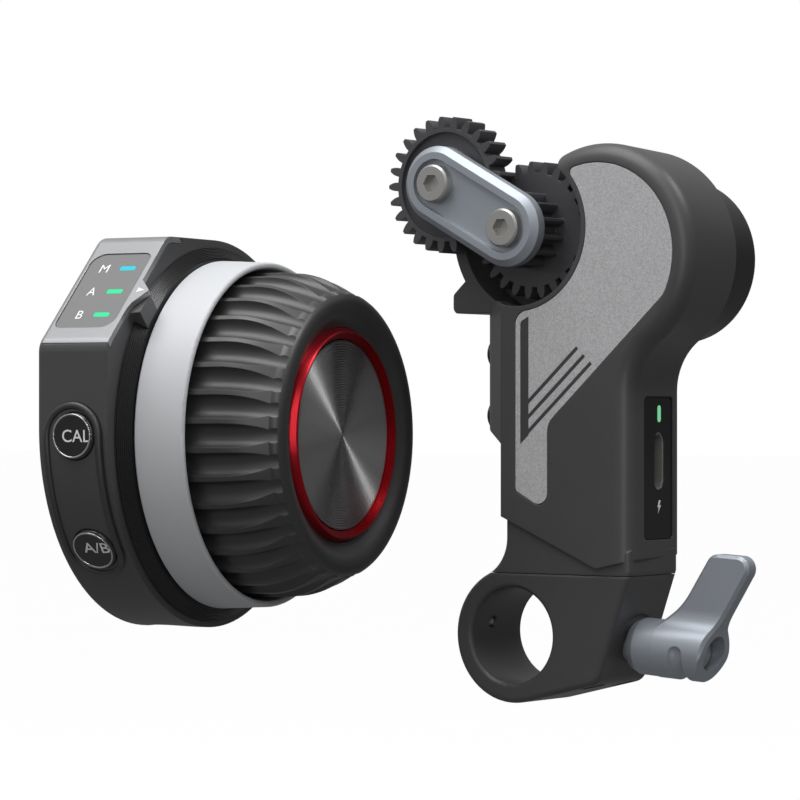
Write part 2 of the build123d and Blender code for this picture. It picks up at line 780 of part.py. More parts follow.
def clamp_block():
    block = foot() - above_seam(-0.1)
    block -= rod_y(bore_radius, 0, 0, -y_clamp - 1, y_clamp + 1)
    rims = block.edges().filter_by(GeomType.CIRCLE)
    rims = rims.filter_by(lambda edge: abs(edge.radius - bore_radius) < 0.01)
    block = chamfer(rims, bore_chamfer)
    block -= clamp_place * rod_x(pad_radius + running_gap, 0,
                                 bore_radius + pad_length + pad_travel + 0.5)
    block -= clamp_place * rod_x(clamp_screw_radius + running_gap, 0, 40)
    block -= clamp_place * rod_x(lever_radius + 0.4, lever_start - 0.1, 40)
    block -= stop_ball_place() * rod_x(stop_ball_radius + running_gap, -1.0, stop_ball_radius)
    for y in block_screw_sides:
        column = Pos(block_screw_x, y, 0)
        block -= column * Cylinder(block_screw_radius, 2 * seam_height + 2)
        block -= column * Pos(0, 0, -12) * Cylinder(block_screw_head + seat_gap, 20)
    return block


def stop_ball_place():
    turn = Rot(0, -stop_ball_angle, 0)
    return Pos(0, stop_ball_y, 0) * turn * Pos(bore_radius + stop_ball_radius + 0.02, 0, 0)


def stop_ball():
    return stop_ball_place() * Sphere(stop_ball_radius)


def block_screws():
    screws = []
    for y in block_screw_sides:
        shank = Pos(0, 0, (seam_height + 2.8) / 2 - 1) * Cylinder(block_screw_radius,
                                                                 seam_height + 2.8 + 2)
        head = Pos(0, 0, -3.3) * Cylinder(block_screw_head, 2.6)
        head -= Pos(0, 0, -5.2) * extrude(RegularPolygon(1.0, 6, major_radius=False), 1.9)
        screws.append(Pos(block_screw_x, y, 0) * (shank + head))
    return Compound(children=screws)


def rod_pad():
    """Pad that the clamp screw presses on the rod, hollowed to the rod's radius."""
    pad = rod_x(pad_radius, bore_radius - 1, bore_radius + pad_length)
    hollow = rod_y(bore_radius + 0.02, 0, 0, -10, 10)
    return clamp_place * (pad - hollow)


lever_start = 19.1
lever_end = 32.3            # on the axis, where the slanted end face lies
lever_end_slant = 15.0      # degrees
lever_radius = 4.5
lever_blade = 3.0           # thickness of the blade
lever_bevel = 0.5
lever_shoulder = (25.4, 26.6)
lever_chamber_radius = 2.7
lever_screw_seat = 29.4
lever_hex = 4.4             # across flats of the driven head of the clamp screw
lever_hex_length = 1.4      # how much of it the lever grips; pulled further, it turns free
notch_radius = 1.4          # finger notch round the lower front of the barrel
notch_x = 28.4


def clamp_screw():
    """Threaded stud with a six-sided head that the lever drops onto."""
    start = lever_start - face_gap
    screw = rod_x(clamp_screw_radius, bore_radius + pad_length, start)
    hexagon = Plane.YZ.offset(start) * RegularPolygon(lever_hex / 2, 6, major_radius=False)
    screw += extrude(hexagon, lever_shoulder[0] - start - face_gap)
    screw += rod_x(1.5, start, lever_screw_seat)
    return clamp_place * (screw - rod_x(0.8, lever_screw_seat - 3, lever_screw_seat + 1))


def lever_screw():
    screw = rod_x(2.4, lever_screw_seat, lever_screw_seat + 1.3)
    screw += rod_x(0.8, lever_screw_seat - 2.8, lever_screw_seat)
    socket = Plane.YZ.offset(lever_screw_seat + 0.4) * RegularPolygon(1.0, 6, major_radius=False)
    return clamp_place * (screw - extrude(socket, 2))


def blade_outline():
    outline = polygon((23.9, -5), (23.9, 4.0), (27.5, 7.2), (32.0, 15.3), (40.1, 15.3),
                      (33.6, 3.2), (lever_end + 0.6, 0), (lever_end - 1.3, -5))
    for x, z, radius in ((27.5, 7.2, 12.0), (32.0, 15.3, 2.2), (40.1, 15.3, 2.0), (33.6, 3.2, 9.0)):
        outline = fillet(corner(outline, x, z), radius)
    return outline


def lever_notch():
    """Rounded groove that starts on the front of the barrel and runs round below it."""
    section = Pos(notch_x, lever_radius + 0.7) * Circle(notch_radius)
    ring = revolve(Plane.XY * section, Axis.X)
    upper = box_between((notch_x - 3, notch_x + 3), (-beyond, beyond), (-0.2, beyond))
    back = box_between((notch_x - 3, notch_x + 3), (1.5, beyond), (-beyond, beyond))
    return ring - upper - back + Pos(notch_x, -lever_radius - 0.7, -0.2) * Sphere(notch_radius)


def lever_handle():
    """Barrel with a flat blade that grows out of it on a hollow blend."""
    end = lever_end + 1.2
    barrel = turned((lever_start, 0), (end, 0), (end, lever_radius - 1.6),
                    (end - 2.6, lever_radius), (lever_start + 1.4, lever_radius - 0.1),
                    (lever_start, lever_radius - 0.7))
    half = lever_blade / 2
    section = Circle(lever_radius) + Pos(0, 10) * Rectangle(lever_blade, 20)
    neck_z = sqrt(lever_radius ** 2 - half ** 2)
    for side in (-half, half):
        section = fillet(corner(section, side, neck_z), 4.0)
    blade = extrude(Plane.YZ.offset(lever_start) * section, 25)
    blade &= along_y(blade_outline(), -6, 6)
    rim = blade.edges().filter_by(lambda edge: edge.center().Z > lever_radius
                                  and abs(edge.center().Y) > half - 0.1)
    rim = rim.filter_by(lambda edge: edge.center().Z > 15 or abs((edge % 0.5).X) < 0.99)
    blade = chamfer(rim, lever_bevel)
    past_end = Pos(lever_end, 0, 0) * Rot(0, lever_end_slant, 0)
    slab = box_between((0, 9), (-7, 7), (-7, 4))
    lever = barrel - past_end * slab + blade - lever_notch()
    grip = lever_shoulder[0] - face_gap - lever_hex_length
    hexagon = Plane.YZ.offset(grip) * RegularPolygon(lever_hex / 2 + seat_gap, 6,
                                                     major_radius=False)
    lever -= extrude(hexagon, lever_shoulder[0] - grip)
    lever -= rod_x(lever_hex / 2 / cos(radians(30)) + 2 * seat_gap, lever_start - 1, grip)
    lever -= rod_x(1.5 + seat_gap, lever_start, lever_end)
    return clamp_place * (lever - rod_x(lever_chamber_radius, lever_shoulder[1], lever_end + 3))


def lever_spring():
    """Coil that holds the lever down on the head of the clamp screw."""
    wire = 0.22
    height = lever_screw_seat - lever_shoulder[1] - 2 * wire - 0.1
    coil = Helix(pitch=height / 2, height=height, radius=2.1, direction=(1, 0, 0))
    ring = Plane(coil @ 0, z_dir=coil % 0) * Circle(wire)
    spring = sweep(ring, path=coil, is_frenet=True)
    return clamp_place * Pos(lever_shoulder[1] + wire + 0.05, 0, 0) * spring


# ---------------------------------------------------------------- hand unit
# Built along its knob axis: x from the case's front towards the knob, y away from
# the buttons and z up. hand_place then stands it beside the motor unit.
hand_turn = 8.7             # degrees that the knob axis is turned from +X towards +Y
hand_x = -36.47
hand_ahead = 28.0           # the case's front plane stands this far ahead of the column
hand_z = 31.4
hand_place = Pos(hand_x, depth(-hand_ahead), hand_z) * Rot(0, 0, hand_turn)

case_depth = 12.5
case_radius = 30.15
case_left = 31.1            # radius of the case on the button side
case_top = 30.3
case_wall = 1.8
case_round = 1.0
front_plate = 1.6
facet_angle = 45.9          # direction the display faces, above the button side
facet_distance = 31.5
bezel_thickness = 0.9

case_bottom = case_top - 2 * case_radius
arc_centre_z = case_bottom + case_left
facet_normal = (-cos(radians(facet_angle)), sin(radians(facet_angle)))
facet_along = (sin(radians(facet_angle)), cos(radians(facet_angle)))


def facet_point(along, distance):
    """(y, z) of a point over the display facet."""
    return tuple(distance * out + along * side for out, side in zip(facet_normal, facet_along))


def facet_plane(distance):
    """Sketch plane parallel to the facet: x as on the case, y up along the facet."""
    return Plane(origin=(0, *facet_point(0, distance)), x_dir=(1, 0, 0), z_dir=(0, *facet_normal))


def along_x(sketch, x_start, x_end):
    return extrude(Plane.YZ.offset(x_start) * sketch, x_end - x_start)


def case_outline(inset=0.0):
    """Round on the far side, flat on top, with a facet for the display."""
    top, left, radius = case_top - inset, case_left - inset, case_radius - inset
    flat = facet_distance - inset
    low = facet_point((-left - flat * facet_normal[0]) / facet_along[0], flat)
    high = facet_point((top - flat * facet_normal[1]) / facet_along[1], flat)
    bottom = (0, case_bottom + inset)
    diagonal = left * sin(radians(45))
    face = make_face([
        Line(low, high), Line(high, (0, top)),
        ThreePointArc((0, top), (radius, case_top - case_radius), bottom),
        ThreePointArc(bottom, (-diagonal, arc_centre_z - diagonal), (-left, arc_centre_z)),
        Line((-left, arc_centre_z), low),
    ])
    face = fillet(corner(face, *low), 3.0)
    return fillet(corner(face, *high), 3.0)


hub_radius = 8.5
hub_back = -case_depth + 6.9
hub_front = 3.2
bearing_radius = 6.0
bearing_width = 3.5
shaft_radius = 3.0
shaft_back = hub_back - 0.8

back_plate = 1.9            # thickness of the back cover
back_boss_reach = 23.5
back_boss_angles = (45, 135, 243, 315)
back_boss_radius = 2.4

insert_room = case_depth - back_plate - front_plate
insert_radius = insert_room / 2 - 2 * seat_gap  # steel insert with the camera thread
insert_depth = 6.0
insert_bore = 2.6
insert_x = -front_plate - insert_room / 2
spot_drop = 0.5             # how deep the flat round the insert is cut
insert_mouth = case_bottom + spot_drop

bezel_edge = -0.05          # x of the bezel's edge next to the collar
bezel_back = -case_depth + 0.25
bezel_low = -12.5
bezel_high = 13.5
pointer_tip = 2.1
pointer_along = (-4.0, -1.2, 1.2)   # where the pointer starts, points and ends
window_x = (bezel_back + 1.0, bezel_edge - 0.8)
window_along = (-9.35, 7.3)
window_recess = 0.15

pad_x = -case_depth / 2 + 0.25
pad_width = case_depth - 2.2
pad_reach = (-21.0, 5.0)
pad_skin = 0.9
pad_step = 0.3
cap_radius = 3.54
cap_x = pad_x + 0.4
cap_angles = (2.2, 35.4)    # below the horizontal, on the button side
cap_proud = 0.7
cap_travel = 0.5
cap_length = 3.2
power_radius = 2.5          # power key on the far side
power_angle = 145.0
power_surface = case_left - 1.5


def side_plane(angle, radius):
    """Plane that faces out of the case's round side, below the horizontal."""
    out = (-cos(radians(angle)), -sin(radians(angle)))
    return Plane(origin=(cap_x, radius * out[0], arc_centre_z + radius * out[1]),
                 x_dir=(1, 0, 0), z_dir=(0, *out))


def pad_bar(gap=0.0):
    """Stadium-ended bar that crosses the button side at the place of the pad."""
    length = pad_reach[1] - pad_reach[0] - 2 * gap
    slot = SlotOverall(length, pad_width - 2 * gap, rotation=90)
    across = Plane(origin=(pad_x, -15, sum(pad_reach) / 2), x_dir=(1, 0, 0), z_dir=(0, -1, 0))
    return extrude(across * slot, 25)


def pad_layer(inner, outer):
    """Skin of the case between two offsets outwards from its surface."""
    return along_x(case_outline(-outer), -case_depth, 0) - along_x(case_outline(-inner),
                                                                   -case_depth, 0)


def case_solid():
    """Outside of the case as one block, with its back edge rounded."""
    case = along_x(case_outline(), -case_depth, 0)
    return fillet(case.faces().sort_by(Axis.X)[0].edges(), case_round)


def bezel_outline(gap=0.0):
    low, high, edge = bezel_low + gap, bezel_high - gap, bezel_edge - gap
    start, point, end = pointer_along
    plate = polygon((bezel_back + gap, low), (edge, low), (edge, start - 1.5), (edge + 0.3, start),
                    (pointer_tip - gap, point), (edge, end), (edge, high), (bezel_back + gap, high))
    return fillet(corner(plate, pointer_tip - gap, point), 0.4)


def bezel_skin(gap=0.0):
    """Layer of the case's outside over the facet and its two bends, with the pointer."""
    outside = case_solid() + along_x(case_outline(), -case_round - 1, pointer_tip + 1)
    plate = extrude(facet_plane(facet_distance - 8) * bezel_outline(-gap), 10)
    inside = along_x(case_outline(bezel_thickness + gap), -case_depth - 1, pointer_tip + 2)
    return (outside & plate) - inside


def pointer_nose():
    """Lug of the case under the pointer, down to the collar."""
    start, point, end = pointer_along
    foot = facet_distance - bezel_thickness - seat_gap
    lug = polygon((-1.0, start - 1.4), (collar_x[1], start - 1.0), (collar_x[1] + 0.1, point),
                  (-1.0, end - 0.4))
    nose = extrude(facet_plane(foot - 8) * lug, 8)
    slope = (collar_radii[1] - collar_radii[0]) / (collar_x[1] - collar_x[0])
    rise = collar_radii[0] - slope * collar_x[0] + seat_gap
    length = collar_x[1] + 1
    return nose - turned((0, 0), (0, rise), (length, rise + slope * length), (length, 0))


def window_outline(gap=0.0):
    (left, right), (low, high) = window_x, window_along
    left, right, low, high = left + gap, right - gap, low + gap, high - gap
    outline = polygon((left, low), (right, low), (right, high), (left, high))
    for x, z, radius in ((left, low, 1.4), (right, low, 2.4), (right, high, 1.5),
                         (left, high, 2.4)):
        outline = fillet(corner(outline, x, z), radius - gap)
    return outline


def back_bosses(radius, x_start, x_end):
    posts = Part()
    for angle in back_boss_angles:
        y, z = polar(back_boss_reach, radians(angle))
        posts += Pos(0, y, z) * rod_x(radius, x_start, x_end)
    return posts


def hand_case():
    """Cup-shaped case, open at the back, with the hub that carries the knob."""
    case = case_solid() + pointer_nose()
    case -= along_x(case_outline(case_wall), -case_depth - 1, -front_plate)
    inner_back = -case_depth + back_plate
    case += rod_x(hub_radius, hub_back, hub_front)
    case += back_bosses(back_boss_radius, inner_back, -front_plate)
    seat = Pos(insert_x, 0, insert_mouth + insert_depth / 2 + 0.5)
    boss = seat * Cylinder(insert_radius + 1.2, insert_depth + 1)
    case += boss & box_between((inner_back, 0), (-20, 20), (-40, 0))
    case -= seat * Cylinder(insert_radius, insert_depth + 3)
    case -= Pos(insert_x, 0, insert_mouth - 5) * Cylinder(insert_radius + 0.9, 10)
    case -= rod_x(bearing_radius, hub_back - 1, hub_back + bearing_width)
    case -= rod_x(bearing_radius, hub_front - bearing_width, hub_front + 1)
    case -= rod_x(bearing_radius - 1, hub_back, hub_front)
    case -= back_bosses(cover_screw_thread, inner_back - 1, inner_back + 6)
    case -= bezel_skin(seat_gap)
    case -= extrude(facet_plane(facet_distance - 5) * window_outline(0.9), 6)
    case -= pad_layer(pad_step - pad_skin, 1) & pad_bar()
    for angle in cap_angles:
        case -= extrude(side_plane(angle, case_left - 6) * Circle(cap_radius + seat_gap), 8)
    case -= extrude(side_plane(power_angle, case_left - 8) * Circle(power_radius + seat_gap), 10)
    return case - hand_port_place() * slot_x(port_size, seat_gap, 0, 0, -6, 4)


def hand_port_place():
    """Mouth of the charge port on the far side of the case."""
    mouth = case_radius - hand_port_sunk
    return Pos(pad_x, 0, case_top - case_radius) * Rot(0, 0, 90) * Pos(mouth, 0, 0)


def hand_back_cover():
    cover = along_x(case_outline(case_wall + seat_gap), -case_depth, -case_depth + back_plate)
    cover = chamfer(cover.faces().sort_by(Axis.X)[0].edges(), 0.3)
    cover -= back_bosses(cover_screw_thread + running_gap, -case_depth - 1, 0)
    return cover - back_bosses(cover_screw_head + seat_gap, -case_depth - 1, -case_depth + 1.1)


def back_screws():
    screws = []
    start = -case_depth + 0.1
    for angle in back_boss_angles:
        y, z = polar(back_boss_reach, radians(angle))
        socket = Plane.YZ.offset(start) * RegularPolygon(0.75, 6, major_radius=False)
        screw = rod_x(cover_screw_head, start, start + 1.0) - extrude(socket, 0.6)
        screw += rod_x(cover_screw_thread, start + 1.0, start + 7.0)
        screws.append(Pos(0, y, z) * screw)
    return Compound(children=screws)


def mount_insert():
    """Steel insert in the underside, bored to the thread's tapping size."""
    body = Cylinder(insert_radius, insert_depth) - Cylinder(insert_bore, insert_depth + 1)
    rims = body.edges().filter_by(GeomType.CIRCLE)
    body = chamfer(rims.filter_by(lambda edge: edge.radius < insert_radius - 1), 0.4)
    return Pos(insert_x, 0, insert_mouth + insert_depth / 2) * body


def display_bezel():
    window = extrude(facet_plane(facet_distance - bezel_thickness - 1) * window_outline(), 4)
    return bezel_skin() - window


light_places = (4.0, -1.2, -6.35)
light_x = -4.0
light_pad = (2.7, 0.9)
light_depth = 0.45


def display_window():
    """Grey panel in the bezel, with a shallow seat for each light."""
    plane = facet_plane(facet_distance - bezel_thickness)
    window = extrude(plane * window_outline(0.08), bezel_thickness - window_recess)
    return window - light_bars(seat_gap / 2, light_depth + 0.05)


def light_bars(gap, thickness):
    bars = Part()
    for along in light_places:
        seat = facet_plane(facet_distance - window_recess - light_depth)
        pad = RectangleRounded(light_pad[0] + 2 * gap, light_pad[1] + 2 * gap, 0.25)
        bars += extrude(seat * Pos(light_x, along) * pad, thickness)
    return bars


def button_pad():
    pad = pad_layer(pad_step - pad_skin, pad_step) & pad_bar(seat_gap)
    for angle in cap_angles:
        pad -= extrude(side_plane(angle, case_left - 6) * Circle(cap_radius + seat_gap), 8)
    return pad


def push_cap(angle, radius, surface):
    """Round key with a soft edge and a flange that keeps it in the case."""
    bottom = surface - cap_length
    cap = Cylinder(radius, cap_length + cap_proud,
                   align=(Align.CENTER, Align.CENTER, Align.MIN))
    cap = fillet(cap.faces().sort_by(Axis.Z)[-1].edges(), 0.5)
    flange = Cylinder(radius + 0.35, 0.6, align=(Align.CENTER, Align.CENTER, Align.MIN))
    return side_plane(angle, bottom).location * (cap + flange)


def key_switches():
    """Click switches behind the two keys, on their own small boards."""
    switches = []
    for angle in cap_angles:
        place = side_plane(angle, case_left - cap_length - cap_travel - 0.15)
        body = extrude(place * Circle(1.6), -1.0)
        place = side_plane(angle, case_left - cap_length - cap_travel - 1.15)
        switches.append(body + extrude(place * Rectangle(7.0, 6.0), -0.9))
    return Compound(children=switches)


grip_radius = 25.0
marking_bore = grip_radius + 0.6
marking_radii = (marking_bore + 1.4, marking_bore + 1.0)
collar_radii = (marking_radii[0] + 2.2, marking_radii[0] + 0.4)     # at its back and its front
collar_x = (0.1, 1.8)
collar_grooves = 8
collar_groove_depth = 0.16
collar_bore = collar_radii[1] - 1.5


def grooved_collar():
    """Fixed cone between case and marking ring, turned with fine grooves."""
    back, front = collar_x
    points = [(back, collar_bore), (back, collar_radii[0])]
    for groove in range(collar_grooves):
        for part, drop in ((0.35, 0), (0.6, 1), (0.85, 1), (1.0, 0)):
            share = (groove + part) / collar_grooves
            radius = collar_radii[0] + share * (collar_radii[1] - collar_radii[0])
            points.append((back + share * (front - back) - drop * collar_groove_depth,
                           radius - drop * collar_groove_depth))
    return turned(*points, (front, collar_bore))


# ---------------------------------------------------------------- focus knob
ring_x = (2.0, 10.3)
grip_start = 5.4
grip_straight = 13.4        # the grip narrows in front of this x
grip_shoulder_radius = grip_radius - 3.0
grip_crest = 24.2           # x of the foremost rim of the grip
grip_crest_round = 1.9
grip_bore = grip_radius - 3.7
flutes = 36
flute_radius = 1.9
flute_depth = 1.25
flute_end_radius = grip_radius - 3.9    # where the flutes run out on the shoulder
core_wall = 2.0
core_front = 20.1
trim_radius = 16.5
trim_lip_radius = 15.9
trim_back = 22.5            # x where the rubber meets the trim ring
trim_front = 23.7
trim_grooves = 5
disc_radius = 14.5
disc_front = 22.75
disc_grooves = 36
groove_depth = 0.08


def marking_ring():
    """White ring for lens marks; it turns with the knob."""
    back, front = ring_x
    lip = marking_radii[1] - marking_bore
    ring = turned((back, marking_bore), (back, marking_radii[0] - 0.3), (back + 0.3, marking_radii[0]),
                  (front, marking_radii[1]), (front, marking_bore))
    return fillet(ring.faces().sort_by(Axis.X)[-1].edges(), lip * 0.45)


def knob_core():
    """Hub, webs and barrel that carry the ring and the grip on the shaft."""
    web, rim = hub_front + 0.3, marking_bore - running_gap
    core = turned((web, shaft_radius), (web, rim), (grip_start, rim),
                  (grip_start, grip_bore), (core_front, grip_bore), (core_front, shaft_radius))
    room = turned((grip_start, hub_radius), (grip_start, grip_bore - core_wall),
                  (core_front - 2, grip_bore - core_wall), (core_front - 2, hub_radius))
    return core - room


def grip_profile():
    """Half section of the grip: straight, narrowing to a round crest, then dished."""
    shoulder = (grip_crest - grip_crest_round, grip_shoulder_radius)
    crest = (grip_crest, grip_shoulder_radius - grip_crest_round)
    diagonal = grip_crest_round * sin(radians(45))
    rounding = (shoulder[0] + diagonal, crest[1] + diagonal)
    slope = (shoulder[0] - grip_straight, 1.7 * (shoulder[1] - grip_radius))
    side = Spline((grip_straight, grip_radius), shoulder, tangents=((1, 0), slope))
    dish = Spline(crest, (trim_back, trim_radius), tangents=((0, -1), (-0.3, -1)))
    return make_face([
        Polyline((core_front, trim_radius), (core_front, grip_bore), (grip_start, grip_bore),
                 (grip_start, grip_radius), (grip_straight, grip_radius)),
        side, ThreePointArc(shoulder, rounding, crest), dish,
        Line((trim_back, trim_radius), (core_front, trim_radius)),
    ])


def flute_cutter():
    """Round bar that follows the grip's side and runs out on its shoulder."""
    floor = grip_radius - flute_depth + flute_radius
    bend = grip_straight - 2
    straight = Line((grip_start - 3, 0, floor), (bend, 0, floor))
    curve = TangentArc((bend, 0, floor), (grip_crest, 0, flute_end_radius + flute_radius),
                       tangent=(1, 0, 0))
    path = Wire([straight, curve])
    return sweep(Plane(path @ 0, z_dir=path % 0) * Circle(flute_radius), path=path)


def knob_grip():
    """Rubber grip with hollow flutes that run out before the round front rim."""
    grip = revolve(Plane.XZ * grip_profile(), Axis.X)
    cutter = flute_cutter()
    return grip - [Rot(flute * 360 / flutes, 0, 0) * cutter for flute in range(flutes)]


def trim_ring():
    """Anodised ring that stands out of the rubber, with a grooved cone inside."""
    top = (trim_front, trim_lip_radius - 0.3)
    foot = (disc_front - 0.1, disc_radius + 2 * seat_gap)
    points = [(core_front, foot[1]), (core_front, trim_radius - running_gap),
              (trim_back, trim_radius - running_gap), (trim_front - 0.15, trim_lip_radius),
              (trim_front, trim_lip_radius - 0.15), top]
    for groove in range(trim_grooves):
        for part, drop in ((0.55, groove_depth), (1.0, 0)):
            share = (groove + part) / trim_grooves
            points.append((top[0] + share * (foot[0] - top[0]) - drop,
                           top[1] + share * (foot[1] - top[1]) + drop))
    return turned(*points)


def cap_disc():
    """Metal disc, turned with fine rings on its face."""
    pitch = (disc_radius - 0.6) / disc_grooves
    points = [(core_front, 0), (core_front, disc_radius), (disc_front, disc_radius)]
    for groove in range(disc_grooves):
        outer = disc_radius - 0.3 - groove * pitch
        points += [(disc_front, outer), (disc_front - groove_depth, outer - pitch / 2)]
    return turned(*points, (disc_front, 0))


def knob_shaft():
    return rod_x(shaft_radius, shaft_back, core_front - 0.1)


def bearing(x_start):
    return tube_x(bearing_radius, shaft_radius + running_gap, x_start, x_start + bearing_width)


def shaft_bearings():
    return Compound(children=[bearing(hub_back), bearing(hub_front - bearing_width)])


magnet_length = 1.2
encoder_gap = 0.8


def encoder_magnet():
    return rod_x(shaft_radius, shaft_back - magnet_length, shaft_back)


def encoder_board():
    """Board with the sensor that reads the magnet at the end of the shaft."""
    face = shaft_back - magnet_length - encoder_gap
    sensor = box_between((face - 0.8, face), (-2.0, 2.0), (-2.0, 2.0))
    return sensor + rod_x(7.0, face - 0.8 - board_thickness, face - 0.8)


hand_board_size = (26.0, 10.4)
hand_board_z = 18.8


def hand_board():
    back = -case_depth + back_plate + 0.4
    front = back + board_thickness
    half, low = hand_board_size[0] / 2, hand_board_z - hand_board_size[1] / 2
    board = box_between((back, front), (-half, half), (low, low + hand_board_size[1]))
    chip = box_between((front, front + board_chip_height), (-4.0, 4.0), (low + 1.4, low + 8.4))
    return board + chip


hand_port_length = 6.0
hand_port_sunk = 0.5        # of the port's mouth in the case's far side
battery_inner = hub_radius + 1.5
battery_outer = case_radius - hand_port_sunk - hand_port_length - 1.5
battery_heights = (-9.5, 13.0)


def hand_battery():
    back = -case_depth + back_plate + 0.4
    cell = box_between((back, -front_plate - 0.6), (battery_inner, battery_outer), battery_heights)
    return fillet(cell.edges().filter_by(Axis.Z), 1.2)


motor_unit = {
    "motor_housing": motor_housing(), "face_panel": face_panel(),
    "panel_stripes": panel_stripes(), "rear_cover": rear_cover(),
    "cover_screws": cover_screws(), "motor_can": motor_can(),
    "drive_motor": drive_motor(), "motor_shaft": motor_shaft(),
    "motor_gear": motor_gear(), "drive_axle": drive_axle(),
    "drive_gear": drive_gear(), "gear_arm": gear_arm(),
    "arm_pivot_screw": arm_pivot_screw(), "idler_screw": idler_screw(),
    "idler_clip": idler_clip(), "idler_bush": idler_bush(),
    "idler_gear": idler_gear(), "port_panel": port_panel(),
    "motor_charge_port": motor_charge_port(), "status_light": status_light(),
    "motor_board": motor_board(), "power_button": pod_button(button_heights[0]),
    "channel_button": pod_button(button_heights[1]), "pod_switches": pod_switches(),
    "clamp_block": clamp_block(), "block_screws": block_screws(),
    "stop_ball": stop_ball(), "rod_pad": rod_pad(), "clamp_screw": clamp_screw(),
    "lever_handle": lever_handle(), "lever_screw": lever_screw(),
    "lever_spring": lever_spring(),
}
for name, shape in motor_unit.items():
    save(name, shape)

hand_unit = {
    "hand_case": hand_case(), "hand_back_cover": hand_back_cover(),
    "back_screws": back_screws(), "mount_insert": mount_insert(),
    "display_bezel": display_bezel(), "display_window": display_window(),
    "indicator_lights": light_bars(0, light_depth + 0.03), "button_pad": button_pad(),
    "cal_button": push_cap(cap_angles[0], cap_radius, case_left),
    "ab_button": push_cap(cap_angles[1], cap_radius, case_left),
    "hand_power_button": push_cap(power_angle, power_radius, power_surface),
    "key_switches": key_switches(), "grooved_collar": grooved_collar(),
    "marking_ring": marking_ring(), "knob_core": knob_core(), "knob_grip": knob_grip(),
    "trim_ring": trim_ring(), "cap_disc": cap_disc(), "knob_shaft": knob_shaft(),
    "shaft_bearings": shaft_bearings(), "encoder_magnet": encoder_magnet(),
    "encoder_board": encoder_board(), "hand_board": hand_board(),
    "hand_battery": hand_battery(),
    "hand_charge_port": hand_port_place() * charge_port(port_size, hand_port_length),
}
for name, shape in hand_unit.items():
    save(name, hand_place * shape)
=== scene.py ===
# %% [markdown]
# A wireless follow focus set in two pieces: a hand unit with a large fluted focus knob,
# and a geared motor unit that clamps on a camera rod. The construction is already fixed:
# each named part arrives at its true size and place, in metres, and none of them is moved
# here. This lesson adds what construction leaves out: the finish of every surface, the
# printed letters, the clear rims of the keys, the lamps and the camera.

import json
from math import cos, pi, radians, sin

import bpy
from mathutils import Matrix, Vector


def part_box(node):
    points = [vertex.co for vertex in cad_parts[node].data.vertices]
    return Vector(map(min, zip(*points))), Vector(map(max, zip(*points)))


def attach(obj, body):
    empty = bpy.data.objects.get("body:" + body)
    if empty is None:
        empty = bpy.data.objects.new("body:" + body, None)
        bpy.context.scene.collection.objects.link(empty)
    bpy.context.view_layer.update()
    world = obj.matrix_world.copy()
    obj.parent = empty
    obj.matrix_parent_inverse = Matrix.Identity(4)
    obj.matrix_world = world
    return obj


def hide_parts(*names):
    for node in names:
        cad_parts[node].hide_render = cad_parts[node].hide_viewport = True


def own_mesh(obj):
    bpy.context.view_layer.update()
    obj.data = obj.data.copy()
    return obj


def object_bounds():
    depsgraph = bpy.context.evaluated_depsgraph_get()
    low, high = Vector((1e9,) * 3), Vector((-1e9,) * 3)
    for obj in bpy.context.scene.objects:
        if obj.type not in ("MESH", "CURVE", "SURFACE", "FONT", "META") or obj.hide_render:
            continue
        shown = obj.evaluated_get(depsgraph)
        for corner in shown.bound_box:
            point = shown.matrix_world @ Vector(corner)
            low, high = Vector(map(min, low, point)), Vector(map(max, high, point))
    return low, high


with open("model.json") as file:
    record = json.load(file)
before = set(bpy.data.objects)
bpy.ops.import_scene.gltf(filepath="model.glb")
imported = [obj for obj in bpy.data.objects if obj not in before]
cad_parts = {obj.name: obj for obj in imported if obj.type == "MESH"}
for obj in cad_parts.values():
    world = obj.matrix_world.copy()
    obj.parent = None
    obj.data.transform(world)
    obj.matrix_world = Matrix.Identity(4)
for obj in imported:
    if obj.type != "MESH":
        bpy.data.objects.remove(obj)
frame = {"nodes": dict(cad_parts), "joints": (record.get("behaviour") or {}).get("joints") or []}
cad_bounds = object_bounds()
nodes = frame["nodes"]
MM = 0.001

# %% [markdown]
# The hand unit stands turned a little about the vertical. Its knob axis, the place of its
# front plane on that axis and the axes of the other joints are all in the joint list, so
# they are read from there instead of being written again.

# %% Read the axes that the pieces below line up with
joints = {joint["name"]: joint for joint in frame["joints"]}
hand_axis = Vector(joints["knob_turn"]["axis"]).normalized()
hand_origin = Vector(joints["knob_turn"]["pos_m"])
hand_side = Vector((0, 0, 1)).cross(hand_axis).normalized()
hand_up = Vector((0, 0, 1))
print("knob axis:", [round(c, 3) for c in hand_axis])


def on_hand(x, y, z):
    """A point of the hand unit from millimetres along its own three directions."""
    return hand_origin + (hand_axis * x + hand_side * y + hand_up * z) * MM


# %% [markdown]
# The camera stands level, 36.3 degrees round from the front, at the height of the middle of
# the set. A long lens from half a metre keeps the perspective gentle. The small upward shift
# puts the set a little low in the frame without tilting the camera, so uprights stay upright.

# %% Camera
view_azimuth = radians(36.3)
view_distance_mm = 540.5
view_target_mm = (-15.22, -15.62, 34.3)
focal_px = 3444.0
image_px = 800.0
sensor_mm = 36.0
shift_px = 16.0
nearest_seen_m = 0.01

